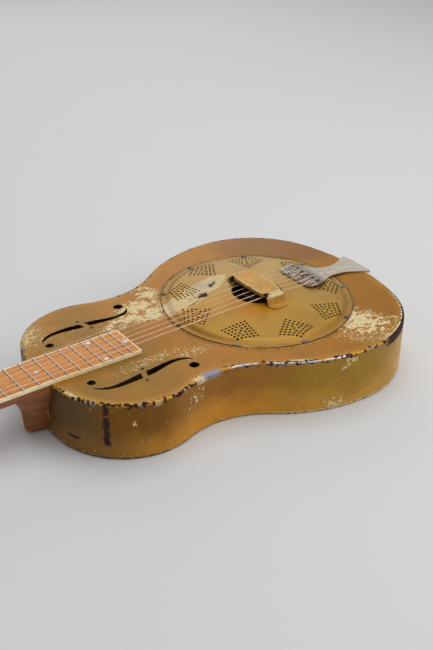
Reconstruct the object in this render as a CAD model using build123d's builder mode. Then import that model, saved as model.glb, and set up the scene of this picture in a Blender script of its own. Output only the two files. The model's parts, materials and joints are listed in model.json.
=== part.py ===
"""Resonator guitar: metal body, spun cone under a pierced coverplate, slotted-head neck, geared tuners.

It lies on its back.  Origin: under the resonator's centre, on the back plane.  +X runs to the tail,
+Y to the treble side, +Z out of the top.  All lengths are in millimetres.
"""
import os
from math import cos, pi, radians, sin, tan

from build123d import *

os.makedirs("parts", exist_ok=True)

# ---------------------------------------------------------------- driving dimensions
SCALE_LENGTH = 635.0
COMPENSATION = 2.0
FRET_COUNT = 19

BODY_DEPTH = 76.0
SHEET = 0.9
PAN_LIP = 4.0
EDGE_ROUND = 3.5
TAIL_X = 180.0
BODY_ARCS = ((305.5, 17.5), (128.6, 70.3), (204.6, 39.4), (119.2, -56.9), (94.4, 68.8), (106.1, 40.9))

OPENING_R = 121.4
BEAD_CIRCLE = 131.3
BEAD_R = 1.2
SCREW_CIRCLE = 126.0
SCREW_COUNT = 9
CLUSTER_START = 180.0

PLATE_R = 129.0
PLATE_OPENING_R = 34.0
PLATE_RIM_Z = 87.5
PLATE_SHOULDER_R = 115.5
PLATE_SHOULDER_Z = 81.2
FLANGE_R = 122.0

LEDGE_Z = 51.0
CONE_RIM_Z = LEDGE_Z + 1.0
CONE_TOP_Z = 78.9
BISCUIT_R = 19.5
BISCUIT_TOP = 86.6
SADDLE_SEAT_Z = 83.0
SADDLE_TOP = 94.6

REST_HALF_W = 17.0
REST_PAN_HALF_L = 36.0
REST_BEND_Y = 38.2
REST_HEEL_Y = 42.8
REST_LEG_HALF_W = 14.2
REST_SKIRT = 5.2
REST_TOP = 101.8
REST_T = 1.5
REST_FOOT_Y = 53.5

TAILPIECE_T = 1.2
RIB_RISE = 1.8
RIB_COMB_X = 109.0
RIB_COMB_Y = -5.0
RIB_TAIL_X = 163.0
HINGE_X = 183.4
HINGE_Z = 74.9
HINGE_R = 2.4
PIN_R = 1.2
BRACKET_X = TAIL_X + 0.05
BRACKET_T = 1.2
BRACKET_SCREW_Y = 9.0
BRACKET_SCREW_Z = 60.0
END_PIN_Z = 36.0
END_PIN_R = 4.0
HOOK_TIP_X = 77.0
HOOK_BASE_X = 87.0
BALL_X = 84.4
BALL_Z = 86.3
BALL_R = 1.9

STICK_W = 30.0
STICK_BOTTOM = 20.0
STICK_TOP = 48.0
BLOCK_FROM = -320.0
BLOCK_TO = -200.0
BLOCK_HALF_W = 27.0

BOARD_T = 4.6
BOARD_END_X = -201.5
BOARD_W12 = 56.2
BOARD_SLOPE = 0.0265
BINDING_T = 1.5
FRET_H = 1.1
FRET_W = 2.3
SCREW_TOP = 79.5
DOT_R = 3.1
DOT_DEPTH = 1.0
DOT_SPREAD = 0.374
END_DOT_X = -207.0

NECK_TILT = 1.4
HEAD_PITCH = 12.0
NUT_T = 5.0
NUT_RISE = 1.5
HEAD_T = 15.5
HEAD_HALF_W = 32.0
HEAD_LENGTH = 166.0
SLOT_Y = 17.0
SLOT_W = 14.0
SLOT_FROM = 25.0
SLOT_TO = 128.0

TUNER_STATIONS = (40.0, 75.0, 110.0)
PLATE_SCREWS = (22.5, 57.5, 92.5, 127.5)
AXLE_R = 3.0
RUNNING_GAP = 0.08
PLATE_T = 1.0
GEAR_TEETH = 14
GEAR_PITCH = 2.0
GEAR_PITCH_R = GEAR_TEETH * GEAR_PITCH / (2 * pi)
WORM_PITCH_R = 2.6
CENTRE_DISTANCE = GEAR_PITCH_R + WORM_PITCH_R
MESH_Y = 37.0

STRING_RADII = (0.15, 0.2, 0.33, 0.45, 0.55, 0.68)
SPREAD_NUT = 37.5
SPREAD_SADDLE = 58.0
SPREAD_TAIL = 53.0


# ---------------------------------------------------------------- shared helpers
def outline_end_x():
    """Where the last outline arc ends; the flat face that meets the neck runs across there."""
    x = TAIL_X
    heading = radians(90)
    for radius, sweep in BODY_ARCS:
        turned = heading + radians(sweep)
        x += (radius if sweep > 0 else -radius) * (sin(turned) - sin(heading))
        heading = turned
    return x


BODY_END_X = outline_end_x()


def fret_x(n):
    return -SCALE_LENGTH * 2 ** (-n / 12) - COMPENSATION


def board_half_width(x):
    return (BOARD_W12 + BOARD_SLOPE * (x - fret_x(12))) / 2


NUT_X = fret_x(0)
NUT_U = BODY_END_X - NUT_X

NECK_PLANE = Plane(
    origin=(BODY_END_X, 0, BODY_DEPTH),
    x_dir=(-cos(radians(NECK_TILT)), 0, -sin(radians(NECK_TILT))),
    z_dir=(-sin(radians(NECK_TILT)), 0, cos(radians(NECK_TILT))),
)
HEAD_ANGLE = radians(NECK_TILT + HEAD_PITCH)
HEAD_PLANE = Plane(
    origin=NECK_PLANE.from_local_coords((NUT_U + NUT_T, 0, 0)),
    x_dir=(-cos(HEAD_ANGLE), 0, -sin(HEAD_ANGLE)),
    z_dir=(-sin(HEAD_ANGLE), 0, cos(HEAD_ANGLE)),
)
MID_W = -HEAD_T / 2


def save(part, name):
    """Name a finished piece and write it as one STEP file."""
    part.label = name
    export_step(part, f"parts/{name}.step")


def body_face(inset):
    """Tangent arcs from tail to neck, mirrored and filled; inset moves the line inward."""
    with BuildSketch(Plane.XY) as face:
        with BuildLine():
            point = (TAIL_X - inset, 0)
            heading = (0, 1)
            for radius, sweep in BODY_ARCS:
                turn = radius - inset if sweep > 0 else radius + inset
                arc = JernArc(point, heading, turn, sweep)
                point = arc @ 1
                heading = arc % 1
            Line(point, (point.X, 0))
            mirror(about=Plane.XZ)
        make_face()
    return face.sketch


def pan_solid(inset, height, rounding):
    """A body-shaped block with its upper edge rounded."""
    with BuildPart() as pan:
        with BuildSketch(Plane.XY):
            add(body_face(inset))
        extrude(amount=height)
        fillet(pan.edges().group_by(Axis.Z)[-1], rounding)
    return pan.part


def slotted_screw(head_r, head_h, shank_r, shank_length):
    """Round-head screw: head above z = 0, plain shank below."""
    with BuildPart() as screw:
        Cylinder(head_r, head_h, align=(Align.CENTER, Align.CENTER, Align.MIN))
        fillet(screw.edges().group_by(Axis.Z)[-1], head_h * 0.6)
        with Locations((0, 0, head_h)):
            Box(head_r * 2.4, head_r * 0.26, head_h, mode=Mode.SUBTRACT)
        Cylinder(shank_r, shank_length, align=(Align.CENTER, Align.CENTER, Align.MAX))
    return screw.part


# ---------------------------------------------------------------- body shell
def f_hole(side):
    """One f-hole: two curved slots with a slanted bridge, two eyes and two notch dots."""
    neck_tip = (-290.4, 57.8 * side)
    tail_tip = (-156.8, 79.2 * side)
    with BuildSketch(Plane.XY) as hole:
        with BuildLine():
            Spline(neck_tip, (-282, 71 * side), (-265, 77.5 * side), (-246, 78.1 * side),
                   (-229.9, 77.3 * side))
            Line((-229.9, 77.3 * side), (-226.2, 65.7 * side))
            Spline((-226.2, 65.7 * side), (-245, 68.1 * side), (-262, 70 * side),
                   (-277, 68 * side), neck_tip)
        make_face()
        with BuildLine():
            Spline((-222.8, 76.6 * side), (-201, 73.2 * side), (-182, 69.3 * side),
                   (-169, 70.4 * side), tail_tip)
            Spline(tail_tip, (-166, 65.8 * side), (-182, 62.5 * side), (-201, 63.4 * side),
                   (-219.5, 65.6 * side))
            Line((-219.5, 65.6 * side), (-222.8, 76.6 * side))
        make_face()
        with Locations((-164.4, 87.6 * side)):
            Circle(6.5)
        with Locations((-284.7, 51.1 * side)):
            Circle(5.4)
        with Locations((-228.3, 82.8 * side), (-220.2, 59.5 * side)):
            Circle(2.3)
    return hole.sketch


def make_body_top():
    with BuildPart() as body_top:
        with Locations((0, 0, BODY_DEPTH - PAN_LIP)):
            add(pan_solid(0, PAN_LIP, EDGE_ROUND))
            add(pan_solid(SHEET, PAN_LIP - SHEET, EDGE_ROUND - SHEET), mode=Mode.SUBTRACT)
        with BuildSketch(Plane.XZ):
            with Locations((BEAD_CIRCLE, BODY_DEPTH)):
                Circle(BEAD_R)
        revolve(axis=Axis.Z)
        with BuildSketch(Plane.XY.offset(BODY_DEPTH - PAN_LIP)):
            Circle(OPENING_R)
            with PolarLocations(SCREW_CIRCLE, SCREW_COUNT, CLUSTER_START):
                Circle(1.35)
            add(f_hole(1))
            add(f_hole(-1))
            for x, y in EXTENSION_SCREWS:
                with Locations((x, y)):
                    Circle(1.6)
        extrude(amount=2 * PAN_LIP, mode=Mode.SUBTRACT)
    save(body_top.part, "body_top")


def make_body_sides():
    with BuildPart() as body_sides:
        with BuildSketch(Plane.XY.offset(PAN_LIP)):
            add(body_face(0))
            add(body_face(SHEET), mode=Mode.SUBTRACT)
        extrude(amount=BODY_DEPTH - 2 * PAN_LIP)
        with Locations((BODY_END_X, 0, (STICK_BOTTOM + STICK_TOP) / 2)):
            Box(4, STICK_W + 0.4, STICK_TOP - STICK_BOTTOM + 0.4, mode=Mode.SUBTRACT)
        with Locations((TAIL_X, 0, END_PIN_Z)):
            Cylinder(END_PIN_R + 0.1, 6, rotation=(0, 90, 0), mode=Mode.SUBTRACT)
        for y in (-BRACKET_SCREW_Y, BRACKET_SCREW_Y):
            with Locations((TAIL_X, y, BRACKET_SCREW_Z)):
                Cylinder(1.35, 6, rotation=(0, 90, 0), mode=Mode.SUBTRACT)
    save(body_sides.part, "body_sides")


def make_body_back():
    with BuildPart() as body_back:
        with Locations((0, 0, PAN_LIP)):
            add(pan_solid(0, PAN_LIP, EDGE_ROUND), rotation=(180, 0, 0))
            inside = pan_solid(SHEET, PAN_LIP - SHEET, EDGE_ROUND - SHEET)
            add(inside, rotation=(180, 0, 0), mode=Mode.SUBTRACT)
    save(body_back.part, "body_back")


# ---------------------------------------------------------------- resonator
def make_soundwell():
    with BuildPart() as soundwell:
        with BuildSketch(Plane.XZ):
            with BuildLine():
                Polyline(
                    (113, LEDGE_Z),
                    (OPENING_R + 1, LEDGE_Z),
                    (OPENING_R + 1, BODY_DEPTH - SHEET),
                    (OPENING_R, BODY_DEPTH - SHEET),
                    (OPENING_R, CONE_RIM_Z),
                    (113, CONE_RIM_Z),
                    close=True,
                )
            make_face()
        revolve(axis=Axis.Z)
        with Locations((0, 0, 63.5)):
            with PolarLocations(OPENING_R, 10, 18):
                Cylinder(8, 12, rotation=(0, 90, 0), mode=Mode.SUBTRACT)
    save(soundwell.part, "soundwell")


def make_cone():
    wall = 0.5
    with BuildPart() as cone:
        with BuildSketch(Plane.XZ):
            with BuildLine():
                Polyline((2.3, CONE_TOP_Z), (24, CONE_TOP_Z))
                ThreePointArc((24, CONE_TOP_Z), (68, 70.4), (114.5, CONE_RIM_Z + wall))
                Polyline(
                    (114.5, CONE_RIM_Z + wall),
                    (120.9, CONE_RIM_Z + wall),
                    (120.9, CONE_RIM_Z),
                    (114.5, CONE_RIM_Z),
                )
                ThreePointArc((114.5, CONE_RIM_Z), (68, 70.4 - wall), (24, CONE_TOP_Z - wall))
                Polyline((24, CONE_TOP_Z - wall), (2.3, CONE_TOP_Z - wall), (2.3, CONE_TOP_Z))
            make_face()
        revolve(axis=Axis.Z)
    save(cone.part, "cone")


def make_biscuit():
    with BuildPart() as biscuit:
        with Locations((0, 0, CONE_TOP_Z)):
            Cylinder(BISCUIT_R, BISCUIT_TOP - CONE_TOP_Z, align=(Align.CENTER, Align.CENTER, Align.MIN))
        fillet(biscuit.edges().group_by(Axis.Z)[-1], 1.5)
        with Locations((0, 0, SADDLE_SEAT_Z)):
            Box(5, 60, 10, align=(Align.CENTER, Align.CENTER, Align.MIN), mode=Mode.SUBTRACT)
        with Locations((0, 0, CONE_TOP_Z)):
            Cylinder(1.7, 3.6, align=(Align.CENTER, Align.CENTER, Align.MIN), mode=Mode.SUBTRACT)
    save(biscuit.part, "biscuit")


def make_saddle():
    with BuildPart() as saddle:
        with Locations((0, 0, SADDLE_SEAT_Z)):
            Box(4.9, 38.6, 5, align=(Align.CENTER, Align.CENTER, Align.MIN))
        with Locations((0, 0, BISCUIT_TOP + 0.6)):
            Box(4.9, 64, SADDLE_TOP - BISCUIT_TOP - 0.6, align=(Align.CENTER, Align.CENTER, Align.MIN))
        fillet(saddle.edges().group_by(Axis.Z)[-1].filter_by(Axis.Y), 1.7)
    save(saddle.part, "saddle")


def make_cone_screw():
    with BuildPart() as cone_screw:
        with Locations((0, 0, CONE_TOP_Z - 0.5)):
            Cylinder(4, 2, align=(Align.CENTER, Align.CENTER, Align.MAX))
            Cylinder(1.6, 3.9, align=(Align.CENTER, Align.CENTER, Align.MIN))
        fillet(cone_screw.edges().group_by(Axis.Z)[0], 1.2)
    save(cone_screw.part, "cone_screw")


# ---------------------------------------------------------------- coverplate
def kite_edge(start, end, steps):
    """Points from start towards end, the last one left out."""
    for k in range(steps):
        yield (
            start[0] + (end[0] - start[0]) * k / steps,
            start[1] + (end[1] - start[1]) * k / steps,
        )


def cluster_points():
    """One group of holes: two kites inside each other, a small diamond and its centre."""
    kites = (
        (78.0, 104.4, 23.0, 117.2, 6, 5),
        (85.8, 102.4, 14.6, 111.4, 4, 3),
        (94.2, 100.6, 6.2, 105.2, 1, 1),
    )
    points = [(99.4, 0)]
    for inner, side_r, side, outer, inner_steps, outer_steps in kites:
        corners = ((inner, 0), (side_r, side), (outer, 0), (side_r, -side))
        points += kite_edge(corners[0], corners[1], inner_steps)
        points += kite_edge(corners[1], corners[2], outer_steps)
        points += kite_edge(corners[2], corners[3], outer_steps)
        points += kite_edge(corners[3], corners[0], inner_steps)
    return points


def make_coverplate():
    hole_r = 1.65
    step = (PLATE_RIM_Z - PLATE_SHOULDER_Z) / (PLATE_SHOULDER_R - PLATE_OPENING_R)
    with BuildPart() as coverplate:
        with BuildSketch(Plane.XZ) as section:
            with BuildLine():
                Polyline(
                    (PLATE_OPENING_R, PLATE_RIM_Z),
                    (PLATE_SHOULDER_R, PLATE_SHOULDER_Z),
                    (FLANGE_R, BODY_DEPTH + SHEET),
                    (PLATE_R, BODY_DEPTH + SHEET),
                    (PLATE_R, BODY_DEPTH),
                    (FLANGE_R - 0.5, BODY_DEPTH),
                    (PLATE_SHOULDER_R - 0.5, PLATE_SHOULDER_Z - SHEET + step / 2),
                    (PLATE_OPENING_R, PLATE_RIM_Z - SHEET),
                    close=True,
                )
            make_face()
            fillet(section.vertices().filter_by_position(Axis.X, 100, PLATE_SHOULDER_R + 1), 12)
            fillet(section.vertices().filter_by_position(Axis.X, FLANGE_R - 1, FLANGE_R + 1), 1.5)
        revolve(axis=Axis.Z)
        with BuildSketch(Plane.XY.offset(BODY_DEPTH - 1)):
            for k in range(SCREW_COUNT):
                angle = radians(CLUSTER_START + 360 * k / SCREW_COUNT)
                for r, s in cluster_points():
                    with Locations((r * cos(angle) - s * sin(angle), r * sin(angle) + s * cos(angle))):
                        Circle(hole_r)
            with PolarLocations(SCREW_CIRCLE, SCREW_COUNT, CLUSTER_START):
                Circle(1.35)
        extrude(amount=20, mode=Mode.SUBTRACT)
    save(coverplate.part, "coverplate")


def make_coverplate_screws():
    screw = slotted_screw(3.3, 1.7, 1.25, 7)
    with BuildPart() as coverplate_screws:
        for k in range(SCREW_COUNT):
            angle = CLUSTER_START + 360 * k / SCREW_COUNT
            x = SCREW_CIRCLE * cos(radians(angle))
            y = SCREW_CIRCLE * sin(radians(angle))
            with Locations(Location((x, y, BODY_DEPTH + SHEET), (0, 0, 57 * k))):
                add(screw)
    save(coverplate_screws.part, "coverplate_screws")


# ---------------------------------------------------------------- handrest
def plate_z(r):
    """Height of the coverplate's upper face at radius r."""
    return PLATE_RIM_Z - (PLATE_RIM_Z - PLATE_SHOULDER_Z) * (r - PLATE_OPENING_R) / (
        PLATE_SHOULDER_R - PLATE_OPENING_R
    )


def handrest_plan(inset):
    """Outline of the handrest's top: bowed sides, shallow ends, round corners."""
    side = REST_HALF_W - inset
    end = REST_PAN_HALF_L - inset
    with BuildSketch(Plane.XY) as plan:
        with BuildLine():
            ThreePointArc((side - 1.4, -end + 2), (side, 0), (side - 1.4, end - 2))
            ThreePointArc((side - 1.4, end - 2), (0, end), (1.4 - side, end - 2))
            ThreePointArc((1.4 - side, end - 2), (-side, 0), (1.4 - side, 2 - end))
            ThreePointArc((1.4 - side, 2 - end), (0, -end), (side - 1.4, -end + 2))
        make_face()
        fillet(plan.vertices(), 9 - inset)
    return plan.sketch


def make_handrest():
    toe_z = plate_z(REST_FOOT_Y) + 0.05
    heel_z = plate_z(REST_HEEL_Y) + 0.05
    leg_top = REST_TOP - REST_T + 0.3
    leg_start = REST_PAN_HALF_L - 3.2
    with BuildPart() as legs:
        with BuildSketch(Plane.YZ) as strap:
            with BuildLine():
                Polyline(
                    (leg_start, leg_top),
                    (REST_BEND_Y, leg_top),
                    (REST_HEEL_Y, heel_z + REST_T),
                    (REST_FOOT_Y, toe_z + REST_T),
                    (REST_FOOT_Y, toe_z),
                    (REST_HEEL_Y - 1.1, heel_z + 0.1),
                    (REST_BEND_Y - 1.1, leg_top - REST_T),
                    (leg_start, leg_top - REST_T),
                    close=True,
                )
            make_face()
            bends = strap.vertices().filter_by_position(Axis.X, REST_BEND_Y - 2, REST_HEEL_Y + 1)
            bends = bends.sort_by(Axis.Y)
            fillet(bends[-1], 6)
            fillet(bends[-2], 6 - REST_T)
            fillet(bends[1], 2)
            fillet(bends[0], 2 + REST_T)
            mirror(about=Plane.YZ)
        extrude(amount=REST_LEG_HALF_W, both=True)
        fillet(legs.edges().filter_by(Axis.Z).group_by(Axis.Y)[0], 10)
        fillet(legs.edges().filter_by(Axis.Z).group_by(Axis.Y)[-1], 10)
    with BuildPart() as hollow:
        with BuildSketch(Plane.XY.offset(REST_TOP - REST_SKIRT)):
            add(handrest_plan(1.3))
        extrude(amount=REST_SKIRT - REST_T)
    with BuildPart() as handrest:
        with BuildSketch(Plane.XY.offset(REST_TOP - REST_SKIRT)):
            add(handrest_plan(0))
        extrude(amount=REST_SKIRT)
        fillet(handrest.edges().group_by(Axis.Z)[-1], 1.3)
        add(hollow.part, mode=Mode.SUBTRACT)
        add(legs.part)
    save(handrest.part, "handrest")


# ---------------------------------------------------------------- tailpiece
def hook_y(n):
    return SPREAD_TAIL / 2 - n * SPREAD_TAIL / 5


def tailpiece_side(lift, thickness):
    """Side view of the sheet: a comb that stands over the coverplate, then a long slope to the tail."""
    top = ((64.5, 87.1), (69, 89.0), (77, 89.6), (87, 89.6), (97, 87.4), (107, 84.6), (118, 82.6),
           (130, 80.7), (150, 79.0), (170, 77.8), (HINGE_X, HINGE_Z + HINGE_R))
    upper = [(x, z + lift) for x, z in top]
    lower = [(x, z + lift - thickness) for x, z in reversed(top)]
    with BuildSketch(Plane.XY) as side_view:
        with BuildLine():
            Spline(*upper)
            Line(upper[-1], lower[0])
            Spline(*lower)
            Line(lower[-1], upper[0])
        make_face()
    return side_view.sketch


def make_tailpiece():
    with BuildPart() as rib:
        with BuildSketch(Plane.XZ):
            add(tailpiece_side(RIB_RISE, RIB_RISE + 0.7))
        extrude(amount=8, both=True)
        with BuildSketch(Plane.XY.offset(60)):
            with Locations((RIB_COMB_X, RIB_COMB_Y)):
                Circle(1.9)
            with Locations((RIB_TAIL_X, -1.5)):
                Circle(4.4)
            make_hull()
        extrude(amount=40, mode=Mode.INTERSECT)
        crest = rib.faces().filter_by(lambda face: face.normal_at().Z > 0.7)
        fillet(crest.edges(), RIB_RISE - 0.2)
    with BuildPart() as tailpiece:
        with BuildSketch(Plane.XZ):
            add(tailpiece_side(0, TAILPIECE_T))
        extrude(amount=40, both=True)
        with BuildSketch(Plane.XY.offset(60)):
            with BuildLine():
                Line((64.5, 0), (64.5, 24))
                Spline((64.5, 24), (70, 33.4), (78, 35.2), (91, 31.6), (104, 23.3), (120, 14.8),
                       (136, 12.2), (152, 14.2), (168, 21.3), (HINGE_X, 27.5))
                Line((HINGE_X, 27.5), (HINGE_X, 0))
                mirror(about=Plane.XZ)
            make_face()
            for n in range(6):
                with Locations((HOOK_TIP_X, hook_y(n))):
                    Polygon((0, -0.9), (0, 0.9), (HOOK_BASE_X - HOOK_TIP_X, 2.7),
                            (HOOK_BASE_X - HOOK_TIP_X, -2.7), align=None, mode=Mode.SUBTRACT)
        extrude(amount=40, mode=Mode.INTERSECT)
        add(rib.part)
        for y in (-20.9, 0, 20.9):
            with Locations((HINGE_X, y, HINGE_Z)):
                Cylinder(HINGE_R, 10.4, rotation=(90, 0, 0))
        with Locations((HINGE_X, 0, HINGE_Z)):
            Cylinder(PIN_R + 0.05, 60, rotation=(90, 0, 0), mode=Mode.SUBTRACT)
        for y in (-10.45, 10.45):
            with Locations((HINGE_X, y, HINGE_Z)):
                Cylinder(HINGE_R + 0.3, 10.5, rotation=(90, 0, 0), mode=Mode.SUBTRACT)
    save(tailpiece.part, "tailpiece")


def make_tailpiece_bracket():
    with BuildPart() as bracket:
        with BuildSketch(Plane.YZ.offset(BRACKET_X)):
            with BuildLine():
                Polyline((0, HINGE_Z), (15.5, HINGE_Z), (15.5, 66))
                Line((15.5, 66), (11, END_PIN_Z))
                RadiusArc((11, END_PIN_Z), (0, END_PIN_Z - 11), 11)
                mirror(about=Plane.YZ)
            make_face()
        extrude(amount=BRACKET_T)
        for y in (-10.45, 10.45):
            with Locations((HINGE_X, y, HINGE_Z)):
                Cylinder(HINGE_R, 10.1, rotation=(90, 0, 0))
        with Locations((HINGE_X, 0, HINGE_Z)):
            Cylinder(PIN_R + 0.05, 60, rotation=(90, 0, 0), mode=Mode.SUBTRACT)
        with Locations((HINGE_X, 0, HINGE_Z)):
            Box(6, 10.8, 6, mode=Mode.SUBTRACT)
        with Locations((TAIL_X, 0, END_PIN_Z)):
            Cylinder(END_PIN_R + 0.05, 8, rotation=(0, 90, 0), mode=Mode.SUBTRACT)
        for y in (-BRACKET_SCREW_Y, BRACKET_SCREW_Y):
            with Locations((TAIL_X, y, BRACKET_SCREW_Z)):
                Cylinder(1.35, 8, rotation=(0, 90, 0), mode=Mode.SUBTRACT)
    save(bracket.part, "tailpiece_bracket")


def make_tailpiece_pin():
    with BuildPart() as pin:
        with Locations((HINGE_X, 0, HINGE_Z)):
            Cylinder(PIN_R, 54, rotation=(90, 0, 0))
    save(pin.part, "tailpiece_pin")


def make_tailpiece_screws():
    screw = slotted_screw(3.0, 1.5, 1.25, 8)
    with BuildPart() as screws:
        for y in (-BRACKET_SCREW_Y, BRACKET_SCREW_Y):
            with Locations(Location((BRACKET_X + BRACKET_T, y, BRACKET_SCREW_Z), (0, 90, 0))):
                add(screw)
    save(screws.part, "tailpiece_screws")


def make_end_pin():
    """Strap knob on the tail face, its tapered plug running into the neck stick."""
    face = BRACKET_X + BRACKET_T
    with BuildPart() as end_pin:
        with Locations(Location((168, 0, END_PIN_Z), (0, 90, 0))):
            Cylinder(END_PIN_R, face - 168, align=(Align.CENTER, Align.CENTER, Align.MIN))
        with BuildSketch(Plane(origin=(0, 0, END_PIN_Z), x_dir=(1, 0, 0), z_dir=(0, -1, 0))):
            with BuildLine():
                Polyline((face, 0), (face, 6.5), (face + 1.6, 6.5))
                ThreePointArc((face + 1.6, 6.5), (face + 6, 4.0), (face + 10.4, 6.5))
                Polyline((face + 10.4, 6.5), (face + 12.4, 6.5), (face + 14.0, 4.6))
                Polyline((face + 14.0, 4.6), (face + 14.0, 0), (face, 0))
            make_face()
        revolve(axis=Axis((0, 0, END_PIN_Z), (1, 0, 0)))
    save(end_pin.part, "end_pin")


def make_ball_ends():
    with BuildPart() as ball_ends:
        for n in range(6):
            with Locations((BALL_X, hook_y(n), BALL_Z)):
                Cylinder(BALL_R, 3.6, rotation=(90, 0, 0))
    save(ball_ends.part, "ball_ends")


# ---------------------------------------------------------------- inside the body
def space_x(n):
    """Middle of the space behind fret n."""
    return (fret_x(n) + fret_x(n - 1)) / 2


EXTENSION_SCREWS = (
    (space_x(17), 2 * DOT_SPREAD * board_half_width(space_x(17))),
    (space_x(17), -2 * DOT_SPREAD * board_half_width(space_x(17))),
    (END_DOT_X, 0),
)


def make_neck_stick():
    length = TAIL_X - SHEET - 0.6 - BODY_END_X
    with BuildPart() as neck_stick:
        with Locations((BODY_END_X, 0, STICK_BOTTOM)):
            Box(length, STICK_W, STICK_TOP - STICK_BOTTOM, align=(Align.MIN, Align.CENTER, Align.MIN))
        with Locations((TAIL_X, 0, END_PIN_Z)):
            Cylinder(END_PIN_R + 0.05, 25, rotation=(0, 90, 0), mode=Mode.SUBTRACT)
    save(neck_stick.part, "neck_stick")


def make_neck_block():
    with BuildPart() as neck_block:
        with Locations((BLOCK_FROM, 0, STICK_TOP)):
            Box(BLOCK_TO - BLOCK_FROM, 2 * BLOCK_HALF_W, BODY_DEPTH - SHEET - STICK_TOP,
                align=(Align.MIN, Align.CENTER, Align.MIN))
        for x, y in EXTENSION_SCREWS:
            with Locations((x, y, BODY_DEPTH)):
                Cylinder(1.55, 36, mode=Mode.SUBTRACT)
    save(neck_block.part, "neck_block")


def make_stick_supports():
    with BuildPart() as supports:
        for x in (-215, -10, 140):
            with Locations((x, 0, SHEET)):
                Cylinder(13, STICK_BOTTOM - SHEET, align=(Align.CENTER, Align.CENTER, Align.MIN))
    save(supports.part, "stick_supports")


# ---------------------------------------------------------------- fingerboard
def board_plan(inset, far_x):
    """Tapered outline of the board from past the nut to far_x."""
    near_x = NUT_X - 5
    near_w = board_half_width(near_x) - inset
    far_w = board_half_width(far_x) - inset
    Polygon((near_x, -near_w), (near_x, near_w), (far_x, far_w), (far_x, -far_w), align=None)


def board_blank(inset):
    """The board's block: a level run over the body and a tilted run over the neck."""
    under = NECK_PLANE.from_local_coords((NUT_U, 0, 0))
    over = NECK_PLANE.from_local_coords((NUT_U, 0, BOARD_T))
    bend_x = BODY_END_X - BOARD_T * tan(radians(NECK_TILT) / 2)
    end_x = BOARD_END_X - inset
    with BuildPart() as blank:
        with BuildSketch(Plane.XZ):
            Polygon(
                (end_x, BODY_DEPTH),
                (end_x, BODY_DEPTH + BOARD_T),
                (bend_x, BODY_DEPTH + BOARD_T),
                (over.X, over.Z),
                (under.X, under.Z),
                (BODY_END_X, BODY_DEPTH),
                align=None,
            )
        extrude(amount=40, both=True)
        with BuildSketch(Plane.XY.offset(BODY_DEPTH - 20)):
            board_plan(inset, end_x + 5)
        extrude(amount=40, mode=Mode.INTERSECT)
    return blank.part


def fret_plane(n):
    """Plane square to the strings on the board's upper face at fret n, its normal along the fret."""
    x = fret_x(n)
    if x > BODY_END_X:
        return Plane(origin=(x, 0, BODY_DEPTH + BOARD_T), x_dir=(1, 0, 0), z_dir=(0, -1, 0))
    centre = NECK_PLANE.from_local_coords((BODY_END_X - x, 0, BOARD_T))
    return Plane(origin=centre, x_dir=-NECK_PLANE.x_dir, z_dir=(0, -1, 0))


def dot_locations():
    """Places of the position dots, as frames on the board's upper face."""
    frames = []
    for n, count in ((5, 1), (7, 2), (9, 1), (12, 1), (17, 2)):
        x = space_x(n)
        offset = 2 * DOT_SPREAD * board_half_width(x) if count == 2 else 0
        for side in (-1, 1)[:count]:
            if x > BODY_END_X:
                frames.append(Location((x, side * offset, BODY_DEPTH + BOARD_T)))
            else:
                frames.append(NECK_PLANE.location * Location((BODY_END_X - x, side * offset, BOARD_T)))
    frames.append(Location((END_DOT_X, 0, BODY_DEPTH + BOARD_T)))
    return frames


def make_fingerboard():
    with BuildPart() as fingerboard:
        add(board_blank(BINDING_T))
        for n in range(1, FRET_COUNT + 1):
            with BuildSketch(fret_plane(n)):
                Rectangle(0.6, 4)
            extrude(amount=40, both=True, mode=Mode.SUBTRACT)
        with Locations(*dot_locations()):
            Cylinder(DOT_R, 2 * DOT_DEPTH, mode=Mode.SUBTRACT)
        for x, y in EXTENSION_SCREWS:
            with Locations((x, y, SCREW_TOP - 1.9)):
                Cylinder(2.8, 4, align=(Align.CENTER, Align.CENTER, Align.MIN), mode=Mode.SUBTRACT)
                Cylinder(1.6, 10, mode=Mode.SUBTRACT)
    save(fingerboard.part, "fingerboard")


def make_binding():
    with BuildPart() as binding:
        add(board_blank(0))
        with BuildSketch(Plane.XY.offset(BODY_DEPTH - 20)):
            board_plan(BINDING_T, BOARD_END_X - BINDING_T)
        extrude(amount=40, mode=Mode.SUBTRACT)
    save(binding.part, "fingerboard_binding")


def make_frets():
    with BuildPart() as frets:
        for n in range(1, FRET_COUNT + 1):
            half = board_half_width(fret_x(n))
            with BuildSketch(fret_plane(n)):
                with BuildLine():
                    ThreePointArc((-FRET_W / 2, 0), (0, FRET_H), (FRET_W / 2, 0))
                    Line((FRET_W / 2, 0), (-FRET_W / 2, 0))
                make_face()
            extrude(amount=half - 0.4, both=True)
            with BuildSketch(fret_plane(n)):
                with Locations((0, -0.85)):
                    Rectangle(0.56, 1.9)
            extrude(amount=half - BINDING_T - 0.3, both=True)
    save(frets.part, "frets")


def make_position_dots():
    with BuildPart() as dots:
        with Locations(*dot_locations()):
            Cylinder(DOT_R - 0.02, DOT_DEPTH - 0.02, align=(Align.CENTER, Align.CENTER, Align.MAX))
    save(dots.part, "position_dots")


def make_extension_screws():
    screw = slotted_screw(2.6, 1.9, 1.5, 16)
    with BuildPart() as screws:
        for x, y in EXTENSION_SCREWS:
            with Locations((x, y, SCREW_TOP - 1.9)):
                add(screw)
    save(screws.part, "extension_screws")


def make_nut():
    half = board_half_width(NUT_X)
    with BuildPart() as nut:
        with BuildSketch(NECK_PLANE):
            with Locations((NUT_U + NUT_T / 2, 0)):
                Rectangle(NUT_T, 2 * half)
        extrude(amount=BOARD_T + NUT_RISE)
        top = nut.faces().sort_by(Axis.Z)[-1]
        fillet(top.edges().sort_by(Axis.X)[0], 2)
    save(nut.part, "nut")


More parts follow.
